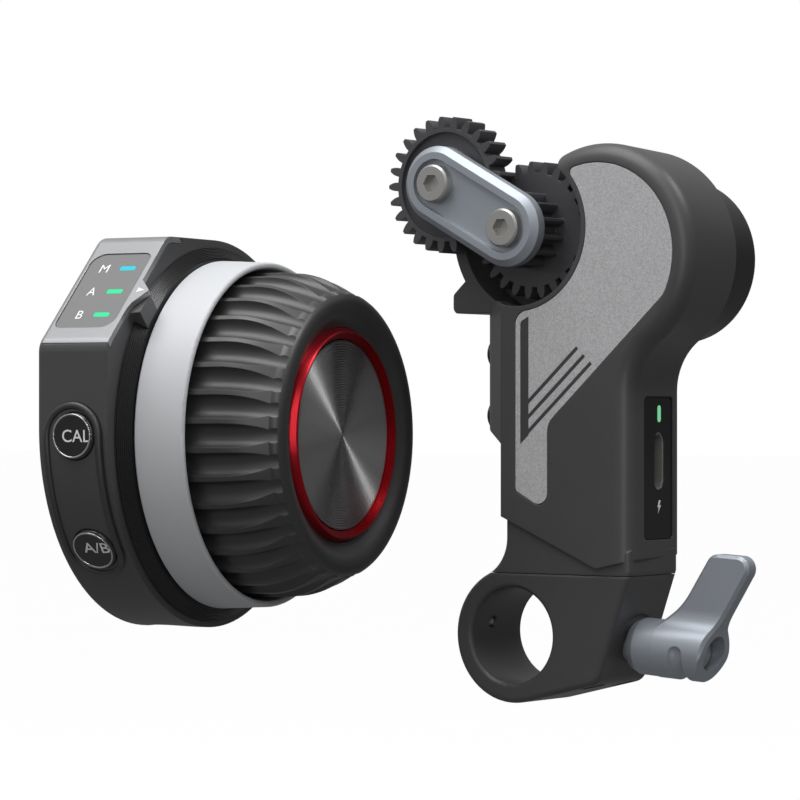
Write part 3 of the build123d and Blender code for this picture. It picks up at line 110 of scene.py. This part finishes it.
camera_data = bpy.data.cameras.new("camera")
camera_data.sensor_width = sensor_mm
camera_data.lens = focal_px / image_px * sensor_mm
camera_data.shift_y = shift_px / image_px
camera_data.clip_start = nearest_seen_m
camera = bpy.data.objects.new("camera", camera_data)
camera.location = [
    (view_target_mm[0] + view_distance_mm * sin(view_azimuth)) * MM,
    (view_target_mm[1] - view_distance_mm * cos(view_azimuth)) * MM,
    view_target_mm[2] * MM,
]
camera.rotation_euler = (pi / 2, 0, view_azimuth)
bpy.context.scene.collection.objects.link(camera)
bpy.context.scene.camera = camera
bpy.context.scene.view_settings.view_transform = "Standard"
print("camera at mm:", [round(c / MM, 1) for c in camera.location], "lens:", camera_data.lens)

# %% [markdown]
# Colours are given as sRGB hex values, but a shader works in linear light, so one
# function converts them. One more small function adds a shader node: it sets properties by
# name, and fills each input with either a value or a link from another node's output.

# %% Colour and node helpers


def linear(hex_colour):
    """An sRGB hex colour as the linear red, green, blue and alpha of a shader."""
    shares = [int(hex_colour[at:at + 2], 16) / 255 for at in (1, 3, 5)]
    return (*[s / 12.92 if s <= 0.04045 else ((s + 0.055) / 1.055) ** 2.4 for s in shares], 1.0)


def add(tree, kind, inputs=None, **settings):
    """Add one shader node with its settings, input values and input links."""
    node = tree.nodes.new(kind)
    for name, value in settings.items():
        setattr(node, name, value)
    for name, value in (inputs or {}).items():
        if isinstance(value, bpy.types.NodeSocket):
            tree.links.new(value, node.inputs[name])
        else:
            node.inputs[name].default_value = value
    return node


# %% [markdown]
# Nearly every surface here shares three things: a base colour that wanders a little, a
# roughness that wanders with it, and a fine relief. The relief differs with the process:
# spark-eroded mould texture, blasting grit, powder coat or rubber. So one function builds
# that common part from real sizes, and each material below only says what is its own.
# A Bevel node rounds the light on sharp edges, because no real moulded or machined edge is
# perfectly sharp: by a hundredth of a millimetre on turned metal, by a tenth or so on most
# parts, and by more where paint or powder has flowed over the edge.

# %% The part that all finishes share
cloud_mm = 6.0
shine_wander = 0.03


def surface(name, colour, roughness, metallic=0.0, grain_mm=0.2, relief_mm=0.004,
            wander=0.06, edge_mm=0.12):
    """A Principled material with wandering tone, fine relief and softened edges."""
    material = bpy.data.materials.new(name)
    material.use_nodes = True
    tree = material.node_tree
    shader = tree.nodes["Principled BSDF"]
    place = add(tree, "ShaderNodeTexCoord").outputs["Object"]
    cloud = add(tree, "ShaderNodeTexNoise",
                {"Vector": place, "Scale": 1 / (cloud_mm * MM), "Detail": 4.0,
                 "Roughness": 0.6})
    tone = linear(colour)
    low = [c * (1 - wander) for c in tone[:3]] + [1.0]
    high = [min(1.0, c * (1 + wander)) for c in tone[:3]] + [1.0]
    mixed = add(tree, "ShaderNodeMix", {"Factor": cloud.outputs["Fac"]}, data_type="RGBA")
    mixed.inputs["A"].default_value = low
    mixed.inputs["B"].default_value = high
    tree.links.new(mixed.outputs["Result"], shader.inputs["Base Color"])
    shine = add(tree, "ShaderNodeMapRange",
                {"Value": cloud.outputs["Fac"], "To Min": roughness - shine_wander,
                 "To Max": roughness + shine_wander})
    tree.links.new(shine.outputs["Result"], shader.inputs["Roughness"])
    shader.inputs["Metallic"].default_value = metallic
    grain = add(tree, "ShaderNodeTexNoise",
                {"Vector": place, "Scale": 1 / (grain_mm * MM), "Detail": 2.0})
    rounded = add(tree, "ShaderNodeBevel", {"Radius": edge_mm * MM}, samples=4)
    bump = add(tree, "ShaderNodeBump",
               {"Height": grain.outputs["Fac"], "Distance": relief_mm * MM,
                "Normal": rounded.outputs["Normal"]})
    tree.links.new(bump.outputs["Normal"], shader.inputs["Normal"])
    return material


def parts_of(material):
    """The node tree and the main shader of a material."""
    return material.node_tree, material.node_tree.nodes["Principled BSDF"]


# %% [markdown]
# Both cases are glass-filled nylon from a spark-eroded mould. The eye sees a charcoal that
# is neither glossy nor dull, with a grain too fine to count. Real grain is about 0.05 mm;
# it is drawn at 0.15 mm, which is as fine as shows.

# %% Moulded nylon of the cases
moulded_nylon = surface("moulded_nylon", "#474748", 0.42, grain_mm=0.15, relief_mm=0.006,
                        edge_mm=0.3)
print("finish of the cases:", moulded_nylon.name)

# %% [markdown]
# The rod clamp is die-cast and powder coated to match. Powder coat flows a little before it
# sets, so its relief is longer and softer than mould texture.

# %% Powder-coated casting
powder_coat = surface("powder_coat", "#444445", 0.40, grain_mm=0.35, relief_mm=0.008,
                      edge_mm=0.7)
print("finish of the rod clamp:", powder_coat.name)

# %% [markdown]
# The inlay of the motor unit is aluminium, blasted with coarse grit and clear anodised. Each
# crater catches light by itself, so the plate glitters in fine grey specks. Cells 0.22 mm
# wide change the tone, coarser than real grit so that they show, and a relief of 0.12 mm
# grain changes the tilt.

# %% Grit-blasted aluminium
speck_mm = 0.22
darkest_speck, lightest_speck = 0.80, 1.22


def grit_blasted():
    """Blasted aluminium: the shared surface, with its tone broken into specks."""
    material = surface("grit_blasted_aluminium", "#c0c0c2", 0.5, metallic=0.2,
                       grain_mm=0.12, relief_mm=0.02, wander=0.05)
    tree, shader = parts_of(material)
    place = add(tree, "ShaderNodeTexCoord").outputs["Object"]
    cells = add(tree, "ShaderNodeTexVoronoi", {"Vector": place, "Scale": 1 / (speck_mm * MM)})
    specks = add(tree, "ShaderNodeMapRange",
                 {"Value": cells.outputs["Color"], "To Min": darkest_speck,
                  "To Max": lightest_speck})
    base = shader.inputs["Base Color"].links[0].from_socket
    speckled = add(tree, "ShaderNodeMix", {"Factor": 1.0}, data_type="RGBA",
                   blend_type="MULTIPLY")
    tree.links.new(base, speckled.inputs["A"])
    tree.links.new(specks.outputs["Result"], speckled.inputs["B"])
    tree.links.new(speckled.outputs["Result"], shader.inputs["Base Color"])
    return material


blasted_aluminium = grit_blasted()
print("speck width in mm:", speck_mm)

# %% [markdown]
# The stripes of the inlay are pad-printed ink, flat and dark grey. The gears are moulded
# acetal, a slick engineering plastic: a mid charcoal with a soft waxy shine.

# %% Ink and acetal
printed_ink = surface("printed_ink", "#3c3c3d", 0.6, grain_mm=0.1, relief_mm=0.002)
acetal = surface("moulded_acetal", "#47474a", 0.38, grain_mm=0.3, relief_mm=0.003,
                 edge_mm=0.2)
print("finish of the gears:", acetal.name)

# %% [markdown]
# The swing arm and the lever are machined aluminium, bead blasted and anodised in a cool
# grey. Anodising keeps a metal's reflections but blurs them. The frame of the display, the
# motor cap, the ring round the disc and the grooved collar are aluminium too, each with its
# own dye: clear, black, red and a turned black that keeps its grooves crisp.

# %% Grey anodised aluminium
grey_anodised = surface("grey_anodised_aluminium", "#a4aab2", 0.44, metallic=0.55,
                        grain_mm=0.12, relief_mm=0.003, wander=0.03)
satin_aluminium = surface("satin_aluminium", "#98999b", 0.36, metallic=0.6, grain_mm=0.1,
                          relief_mm=0.002, wander=0.02)
black_anodised = surface("black_anodised_aluminium", "#323233", 0.34, metallic=0.4,
                         grain_mm=0.12, relief_mm=0.002)
red_anodised = surface("red_anodised_aluminium", "#a3121f", 0.30, metallic=0.8,
                       grain_mm=0.4, relief_mm=0.0002, wander=0.02, edge_mm=0.01)
turned_black = surface("turned_black_aluminium", "#3a3a3b", 0.30, metallic=0.6,
                       grain_mm=0.4, relief_mm=0.0005, wander=0.02, edge_mm=0.01)
print("finish of arm and lever:", grey_anodised.name)

# %% [markdown]
# Screws, shafts and port shells are steel: bright where ground, dark where black oxide
# keeps rust away. The bush is brass.

# %% Steel and brass
ground_steel = surface("ground_steel", "#b2b1ae", 0.36, metallic=0.75, grain_mm=0.1,
                       relief_mm=0.001, wander=0.04, edge_mm=0.08)
black_oxide = surface("black_oxide_steel", "#2b2b2c", 0.35, metallic=0.8, grain_mm=0.1,
                      relief_mm=0.001)
turned_brass = surface("turned_brass", "#c9a45a", 0.25, metallic=1.0, grain_mm=0.1,
                       relief_mm=0.001)
print("finish of the bush:", turned_brass.name)

# %% [markdown]
# The grip is moulded silicone rubber. It is a darker black than the cases, and its surface
# scatters a broad, soft highlight along every flute. The push buttons are the same.

# %% Silicone rubber
silicone = surface("silicone_rubber", "#262626", 0.44, grain_mm=0.25, relief_mm=0.006,
                   edge_mm=0.15)
parts_of(silicone)[1].inputs["Specular IOR Level"].default_value = 0.8
print("finish of the grip:", silicone.name)

# %% [markdown]
# The marking ring is white acetal that takes a pencil or a dry marker. The grey window of
# the display is satin polycarbonate, the port panel and the keys are glossy acrylic. The
# rims of the keys are clear, but so thin that only the lamps' glint on them shows, so they
# are made bright and nearly mirror-like. Boards and battery hide inside and stay plain.

# %% White, grey and gloss plastics
marking_white = surface("white_marking_acetal", "#c9cbce", 0.45, grain_mm=0.4,
                        relief_mm=0.002, wander=0.015)
window_grey = surface("satin_polycarbonate", "#727273", 0.5, grain_mm=0.2,
                      relief_mm=0.001, wander=0.01, edge_mm=0.05)
gloss_black = surface("gloss_black_acrylic", "#0d0d0e", 0.08, grain_mm=2.0,
                      relief_mm=0.001, edge_mm=0.06)
key_black = surface("key_acrylic", "#2b2b2c", 0.12, grain_mm=2.0, relief_mm=0.001,
                    edge_mm=0.2)
clear_rim = surface("clear_acrylic_rim", "#b9babc", 0.14, metallic=0.9, grain_mm=2.0,
                    relief_mm=0.001, edge_mm=0.02)
solder_mask = surface("solder_mask", "#1d5a35", 0.3, grain_mm=0.5, relief_mm=0.002)
battery_film = surface("battery_film", "#8b8f98", 0.3, metallic=0.3, grain_mm=1.0,
                       relief_mm=0.01)
print("finish of the marking ring:", marking_white.name)


# %% [markdown]
# The disc in the knob is spun aluminium: a tool cut fine rings while it turned, so light
# smears across the rings and two bright fans appear, opposite each other. That is
# anisotropy. Its direction is the way the light is smeared: straight out from the axis. Two
# cross products with the axis take the place on the disc to that direction.

# %% Spun aluminium


def spun_aluminium():
    """Aluminium whose gloss is smeared straight out from the knob axis."""
    material = surface("spun_aluminium", "#a4a4a5", 0.34, metallic=1.0, grain_mm=0.2,
                       relief_mm=0.0005, wander=0.02, edge_mm=0.01)
    tree, shader = parts_of(material)
    place = add(tree, "ShaderNodeTexCoord").outputs["Object"]
    reach = add(tree, "ShaderNodeVectorMath", {0: place, 1: hand_origin},
                operation="SUBTRACT")
    round_about = add(tree, "ShaderNodeVectorMath",
                      {0: reach.outputs["Vector"], 1: hand_axis}, operation="CROSS_PRODUCT")
    outward = add(tree, "ShaderNodeVectorMath",
                  {0: hand_axis, 1: round_about.outputs["Vector"]}, operation="CROSS_PRODUCT")
    across = add(tree, "ShaderNodeVectorMath", {0: outward.outputs["Vector"]},
                 operation="NORMALIZE")
    tree.links.new(across.outputs["Vector"], shader.inputs["Tangent"])
    shader.inputs["Anisotropic"].default_value = 0.95
    return material


spun = spun_aluminium()
print("finish of the disc:", spun.name)


# %% [markdown]
# Lamps behind small windows glow by themselves. Emission just above 1 keeps their colour
# while it tells the eye that they are lit.

# %% Lamp windows
glow = 1.05


def lamp_window(name, colour, strength):
    """A dark window that glows in its own colour."""
    material = surface(name, "#1c2120", 0.3, grain_mm=1.0, relief_mm=0.001, edge_mm=0.02)
    shader = parts_of(material)[1]
    shader.inputs["Specular IOR Level"].default_value = 0.2
    shader.inputs["Emission Color"].default_value = linear(colour)
    shader.inputs["Emission Strength"].default_value = strength
    return material


cyan_lamp = lamp_window("cyan_lamp", "#2fd0e0", glow)
green_lamp = lamp_window("green_lamp", "#2fe8a0", glow)
pale_green_lamp = lamp_window("pale_green_lamp", "#6fc48e", glow)
print("glow of the lamps:", glow)

# %% [markdown]
# Now every fixed part gets its finish. The table below is ordered by what the part is made
# of. Smooth shading is switched on up to a sharp angle, so that round parts look round and
# machined edges stay crisp. Finely turned parts have shallow grooves, so their limit is lower.

# %% Dress the fixed parts
finishes = {
    moulded_nylon: ["motor_housing", "rear_cover", "hand_case", "hand_back_cover",
                    "knob_core", "button_pad"],
    powder_coat: ["clamp_block"],
    blasted_aluminium: ["face_panel"],
    printed_ink: ["panel_stripes"],
    acetal: ["motor_gear", "drive_gear", "idler_gear"],
    grey_anodised: ["gear_arm", "lever_handle"],
    satin_aluminium: ["display_bezel"],
    black_anodised: ["motor_can"],
    turned_black: ["grooved_collar"],
    red_anodised: ["trim_ring"],
    spun: ["cap_disc"],
    ground_steel: ["arm_pivot_screw", "idler_screw", "drive_axle", "motor_shaft",
                   "drive_motor", "stop_ball", "clamp_screw", "lever_screw",
                   "lever_spring", "mount_insert", "motor_charge_port",
                   "hand_charge_port", "knob_shaft", "shaft_bearings"],
    black_oxide: ["cover_screws", "back_screws", "block_screws", "idler_clip",
                  "encoder_magnet"],
    turned_brass: ["idler_bush"],
    silicone: ["knob_grip", "power_button", "channel_button", "hand_power_button",
               "rod_pad"],
    marking_white: ["marking_ring"],
    window_grey: ["display_window"],
    gloss_black: ["port_panel"],
    key_black: ["cal_button", "ab_button"],
    pale_green_lamp: ["status_light"],
    green_lamp: ["indicator_lights"],
    solder_mask: ["motor_board", "pod_switches", "key_switches", "encoder_board",
                  "hand_board"],
    battery_film: ["hand_battery"],
}
crease = radians(28)
fine_crease = radians(9)
finely_turned = {"cap_disc", "trim_ring", "grooved_collar"}
for material, names in finishes.items():
    for name in names:
        mesh = nodes[name].data
        mesh.materials.clear()
        mesh.materials.append(material)
        mesh.shade_smooth()
        mesh.set_sharp_from_angle(angle=fine_crease if name in finely_turned else crease)
dressed = {name for names in finishes.values() for name in names}
print("parts without a finish:", sorted(set(nodes) - dressed))

# %% [markdown]
# The three lamps of the display sit in one part. The top one is cyan and the lower two are
# green, so the faces above a height between them get the second material of the part.

# %% Colour of the top lamp
lamp_split_mm = 55.0
lamps = nodes["indicator_lights"].data
lamps.materials.append(cyan_lamp)
for face in lamps.polygons:
    face.material_index = int(face.center.z > lamp_split_mm * MM)
print("cyan faces:", sum(face.material_index for face in lamps.polygons))

# %% [markdown]
# A coil spring sits between the lever and the head of its screw. Pulling the lever out
# presses the coils together against the head. Construction has it rigid; a copy takes its
# place here and rides with the screw, and it keeps its length.

# %% Copy of the spring that rides with the screw
coil_mesh = nodes["lever_spring"].data.copy()
coil_mesh.transform(nodes["lever_spring"].matrix_world)
coil = bpy.data.objects.new("coil_spring", coil_mesh)
bpy.context.scene.collection.objects.link(coil)
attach(coil, "screw")
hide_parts("lever_spring")
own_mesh(coil)

# %% [markdown]
# The letters and small signs are pad-printed: a film of white ink about 0.02 mm thick. They
# are drawn flat in millimetres first, as a font curve turned into a mesh or as an outline,
# and then laid on the surface that carries them. A ray shot at that surface finds the exact
# place and keeps every mark on it.

# %% Marks that are printed on a surface
mark_ink = surface("white_mark_ink", "#eceded", 0.5, grain_mm=0.1, relief_mm=0.001,
                   edge_mm=0.01)
ink_mm = 0.02


def lay(name, mesh, finish, spot, right, up, body):
    """Lay a flat mesh, drawn in millimetres, on a spot: its x along right, its y along up."""
    out = right.cross(up)
    turn = Matrix((right, up, out)).transposed().to_4x4()
    mesh.transform(Matrix.Translation(spot) @ turn @ Matrix.Scale(MM, 4))
    mesh.materials.clear()
    mesh.materials.append(finish)
    piece = bpy.data.objects.new(name, mesh)
    bpy.context.scene.collection.objects.link(piece)
    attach(piece, body)
    return piece


def spot_on(node, above, inward):
    """Where a line from a place above a part first meets it."""
    hit, spot, _, _ = nodes[node].ray_cast(above, inward)
    if not hit:
        raise ValueError("no surface of " + node + " under " + str(above))
    return spot


def letters(words, height_mm, width_mm, weight):
    """Words as a flat mesh in millimetres, centred; weight thickens the strokes."""
    curve = bpy.data.curves.new(words, "FONT")
    curve.body = words
    curve.offset = weight
    curve.extrude = 1.0
    writer = bpy.data.objects.new(words, curve)
    mesh = bpy.data.meshes.new_from_object(writer)
    bpy.data.objects.remove(writer)
    wide = [corner.co.x for corner in mesh.vertices]
    tall = [corner.co.y for corner in mesh.vertices]
    middle = ((min(wide) + max(wide)) / 2, (min(tall) + max(tall)) / 2, 0)
    size = Matrix.Diagonal((width_mm / (max(wide) - min(wide)),
                            height_mm / (max(tall) - min(tall)), ink_mm, 1))
    mesh.transform(size @ Matrix.Translation([-c for c in middle]))
    return mesh


def inked_outline(name, outline):
    """A flat shape in millimetres from the corners of its outline, as thick as the ink."""
    count = len(outline)
    corners = [(x, y, z) for z in (-ink_mm, ink_mm) for x, y in outline]
    faces = [tuple(reversed(range(count))), tuple(range(count, 2 * count))]
    faces += [(at, (at + 1) % count, (at + 1) % count + count, at + count)
              for at in range(count)]
    mesh = bpy.data.meshes.new(name)
    mesh.from_pydata(corners, [], faces)
    return mesh


# %% [markdown]
# The display slopes at 45.9 degrees. Its letters M, A and B stand before their lamps, and a
# small triangle on the bezel points at the marking ring.

# %% Letters and pointer of the display
slope = radians(45.9)
facet_mm = 31.5
start_above_mm = 5.0
display_letter_mm = 1.75
facet_up = hand_side * sin(slope) + hand_up * cos(slope)
facet_in = hand_side * cos(slope) - hand_up * sin(slope)


def over_facet(x, along):
    """A place above the sloping facet, from millimetres along its two directions."""
    above = facet_mm + start_above_mm
    return hand_origin + (hand_axis * x + facet_up * along - facet_in * above) * MM


for letter, x, along, width_mm in (("M", -8.14, 4.0, 1.5), ("A", -8.07, -1.14, 1.4),
                                   ("B", -7.83, -6.33, 1.05)):
    spot = spot_on("display_window", over_facet(x, along), facet_in)
    lay("letter_" + letter, letters(letter, display_letter_mm, width_mm, 0.0), mark_ink, spot,
        hand_axis, facet_up, "root")
pointer_spot = spot_on("display_bezel", over_facet(0.45, -1.14), facet_in)
pointer_mark = inked_outline("pointer_mark", [(-0.4, -0.5), (0.85, 0.0), (-0.4, 0.5)])
lay("pointer_mark", pointer_mark, mark_ink, pointer_spot, hand_axis, facet_up, "root")
print("pointer at mm:", [round(c / MM, 2) for c in pointer_spot])

# %% [markdown]
# The keys are clear caps over a dark film. The word is printed on the cap. A clear raised
# rim runs round it: a ring of glossy plastic that catches the lamps as thin crescents.

# %% Words and rims of the keys
key_rim_radius_mm = 3.2
key_rim_mm = 0.3


def wire_ring(name, radius_mm, thick_mm, steps=96, sides=12):
    """A round ring of round section, in millimetres, flat on x and y."""
    corners = []
    for step in range(steps):
        angle = 2 * pi * step / steps
        for side in range(sides):
            around = 2 * pi * side / sides
            reach = radius_mm + thick_mm / 2 * cos(around)
            corners.append((reach * cos(angle), reach * sin(angle),
                            thick_mm / 2 * sin(around)))
    faces = []
    for step in range(steps):
        here, after = step * sides, (step + 1) % steps * sides
        faces += [(here + side, after + side, after + (side + 1) % sides,
                   here + (side + 1) % sides) for side in range(sides)]
    mesh = bpy.data.meshes.new(name)
    mesh.from_pydata(corners, [], faces)
    mesh.shade_smooth()
    return mesh


key_word_mm = 1.85
key_word_weight = 0.004
word_shift_mm = 0.75
start_above_key_mm = 8
for node, words, joint, body, word_mm, word_up_mm in (
        ("cal_button", "CAL", "cal_press", "cal_key", 4.8, 0.0),
        ("ab_button", "A/B", "ab_press", "ab_key", 4.5, 0.5)):
    inward = Vector(joints[joint]["axis"]).normalized()
    key_up = hand_axis.cross(inward)
    low, high = (Vector(corner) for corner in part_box(node))
    above = (low + high) / 2 - inward * start_above_key_mm * MM
    word_above = above + (hand_axis * word_shift_mm + key_up * word_up_mm) * MM
    lay(node + "_word", letters(words, key_word_mm, word_mm, key_word_weight), mark_ink,
        spot_on(node, word_above, inward), hand_axis, key_up, body)
    lay(node + "_rim", wire_ring(node + "_rim", key_rim_radius_mm, key_rim_mm), clear_rim,
        spot_on(node, above, inward), hand_axis, key_up, body)
    print("key", words, "with a rim of radius in mm:", key_rim_radius_mm)

# %% [markdown]
# The rubber skin round the keys has a soft raised lip. Its middle line is a racetrack: two
# half circles joined by straight sides, bent round the case. Each point of the line is
# dropped on the skin, and an oval section is swept through them.

# %% Soft lip of the key skin
skin_x_mm = -6.0
skin_round_mm = 31.1
skin_round_up_mm = 1.1
lip_wide_mm = 1.1
lip_proud_mm = 0.42
lip_bend_mm = 4.55
lip_first_mm, lip_last_mm = 1.2, 19.5
start_above_skin_mm = 3


def racetrack(bend, first, last, steps=24):
    """Places of a closed racetrack line, as offsets across and along."""
    line = [(bend * cos(pi * at / steps), first - bend * sin(pi * at / steps))
            for at in range(steps + 1)]
    reach = last - first
    line += [(-bend, first + reach * at / steps) for at in range(1, steps)]
    line += [(-bend * cos(pi * at / steps), last + bend * sin(pi * at / steps))
             for at in range(steps + 1)]
    line += [(bend, last - reach * at / steps) for at in range(1, steps)]
    return line


def swept_lip(name, sides=12):
    """An oval section swept along the racetrack on the key skin."""
    spots, outs = [], []
    for across, along in racetrack(lip_bend_mm, lip_first_mm, lip_last_mm):
        angle = along / skin_round_mm
        out = -hand_side * cos(angle) - hand_up * sin(angle)
        middle = on_hand(skin_x_mm + across, 0, skin_round_up_mm)
        above = middle + out * (skin_round_mm + start_above_skin_mm) * MM
        spots.append(spot_on("button_pad", above, -out))
        outs.append(out)
    count = len(spots)
    corners = []
    for at in range(count):
        ahead = (spots[(at + 1) % count] - spots[at - 1]).normalized()
        across = ahead.cross(outs[at])
        for side in range(sides):
            around = 2 * pi * side / sides
            corners.append(spots[at] + (across * lip_wide_mm / 2 * cos(around)
                                        + outs[at] * lip_proud_mm * sin(around)) * MM)
    faces = []
    for at in range(count):
        here, after = at * sides, (at + 1) % count * sides
        faces += [(here + side, here + (side + 1) % sides, after + (side + 1) % sides,
                   after + side) for side in range(sides)]
    mesh = bpy.data.meshes.new(name)
    mesh.from_pydata(corners, [], faces)
    mesh.shade_smooth()
    mesh.materials.append(silicone)
    return mesh


skin_lip = bpy.data.objects.new("key_skin_lip", swept_lip("key_skin_lip"))
bpy.context.scene.collection.objects.link(skin_lip)
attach(skin_lip, "root")
print("lip points:", len(skin_lip.data.vertices))

# %% [markdown]
# A small flash of lightning over the charge port tells what the port is for.

# %% Charging sign
flash = [(-0.15, 1.0), (0.45, 1.0), (0.1, 0.25), (0.55, 0.25), (-0.35, -1.05),
         (-0.08, -0.1), (-0.5, -0.1)]
beside_panel_mm = (30, 1.75, 20.25)
flash_spot = spot_on("port_panel", Vector(beside_panel_mm) * MM, Vector((-1, 0, 0)))
lay("charge_sign", inked_outline("charge_sign", flash), mark_ink, flash_spot,
    Vector((0, 1, 0)), Vector((0, 0, 1)), "root")
print("charge sign at mm:", [round(c / MM, 2) for c in flash_spot])

# %% [markdown]
# The floor is a pale sheet far below, and the sky is a plain studio dome that is brightest
# above the left shoulder of the camera. Straight to the camera both are white. In gloss they
# show in part, so dark plastic keeps its depth, and the light that they throw on the set
# stays soft and weak from below.

# %% Floor and sky
floor_drop_mm = 120.0
floor_reach_m = 12.0
floor_grey = 0.12
floor_seen = 0.93
floor_in_gloss, sky_in_gloss = 0.1, 0.10
sky_lowest, sky_highest = 0.02, 0.66
floor_z = cad_bounds[0][2] - floor_drop_mm * MM
floor_mesh = bpy.data.meshes.new("floor")
floor_mesh.from_pydata([(-floor_reach_m, -floor_reach_m, floor_z),
                        (floor_reach_m, -floor_reach_m, floor_z),
                        (floor_reach_m, floor_reach_m, floor_z),
                        (-floor_reach_m, floor_reach_m, floor_z)], [], [(0, 1, 2, 3)])
floor = bpy.data.objects.new("floor", floor_mesh)
bpy.context.scene.collection.objects.link(floor)


def shown(tree, gloss_share):
    """1 for rays straight to the camera or through glass, and a share of 1 in gloss."""
    path = add(tree, "ShaderNodeLightPath").outputs
    straight = add(tree, "ShaderNodeMath",
                   {0: path["Is Camera Ray"], 1: path["Is Transmission Ray"]},
                   operation="MAXIMUM")
    gloss = add(tree, "ShaderNodeMath", {0: path["Is Glossy Ray"], 1: gloss_share},
                operation="MULTIPLY")
    most = add(tree, "ShaderNodeMath", {0: straight.outputs[0], 1: gloss.outputs[0]},
               operation="MAXIMUM")
    return most.outputs[0]


pale_sheet = bpy.data.materials.new("pale_sheet")
pale_sheet.use_nodes = True
sheet_tree, sheet_shader = parts_of(pale_sheet)
sheet_shader.inputs["Base Color"].default_value = (floor_grey, floor_grey, floor_grey, 1)
sheet_shader.inputs["Roughness"].default_value = 0.9
sheet_shader.inputs["Specular IOR Level"].default_value = 0.0
sheet_shader.inputs["Emission Color"].default_value = (1, 1, 1, 1)
sheet_glow = add(sheet_tree, "ShaderNodeMath",
                 {0: shown(sheet_tree, floor_in_gloss), 1: floor_seen},
                 operation="MULTIPLY")
sheet_tree.links.new(sheet_glow.outputs[0], sheet_shader.inputs["Emission Strength"])
floor_mesh.materials.append(pale_sheet)

world = bpy.data.worlds.new("studio")
bpy.context.scene.world = world
world.use_nodes = True
sky_tree = world.node_tree
background = sky_tree.nodes["Background"]
brightest = (-0.35, -0.30, 0.89)
toward = add(sky_tree, "ShaderNodeVectorMath",
             {0: add(sky_tree, "ShaderNodeTexCoord").outputs["Generated"], 1: brightest},
             operation="DOT_PRODUCT")
dome = add(sky_tree, "ShaderNodeMapRange",
           {"Value": toward.outputs["Value"], "From Min": -0.3, "From Max": 1.0,
            "To Min": sky_lowest, "To Max": sky_highest})
level = add(sky_tree, "ShaderNodeMix", {"Factor": shown(sky_tree, sky_in_gloss)},
            data_type="FLOAT")
sky_tree.links.new(dome.outputs["Result"], level.inputs["A"])
level.inputs["B"].default_value = 1.0
sky_tree.links.new(level.outputs["Result"], background.inputs["Strength"])
background.inputs["Color"].default_value = (1, 1, 1, 1)
print("floor at mm:", round(floor_z / MM, 1))

# %% [markdown]
# Three lamps light the set. The large key lamp hangs high on the left; it makes the long
# highlights on the flutes. A tall narrow strip near the front draws a bright line down the
# rounded uprights. A small lamp high on the right opens the fans of the spun disc and
# draws the upper edges.

# %% Lamps


def softbox(name, azimuth, elevation, distance_mm, wide_mm, tall_mm, watts):
    """A soft rectangular lamp that looks at the middle of the set."""
    lamp = bpy.data.lights.new(name, "AREA")
    lamp.shape = "RECTANGLE"
    lamp.size = wide_mm * MM
    lamp.size_y = tall_mm * MM
    lamp.energy = watts
    holder = bpy.data.objects.new(name, lamp)
    around, above = radians(azimuth), radians(elevation)
    out = Vector((sin(around) * cos(above), -cos(around) * cos(above), sin(above)))
    target = Vector(view_target_mm) * MM
    holder.location = target + out * distance_mm * MM
    holder.rotation_euler = out.to_track_quat("Z", "Y").to_euler()
    holder.visible_camera = False
    bpy.context.scene.collection.objects.link(holder)


softbox("key_lamp", -24, 72, 700, 560, 560, 4.0)
softbox("strip_lamp", 34, 14, 620, 40, 620, 0.8)
softbox("rim_lamp", 104, 54, 650, 130, 130, 1.1)
print("lamps:", len(bpy.data.lights))
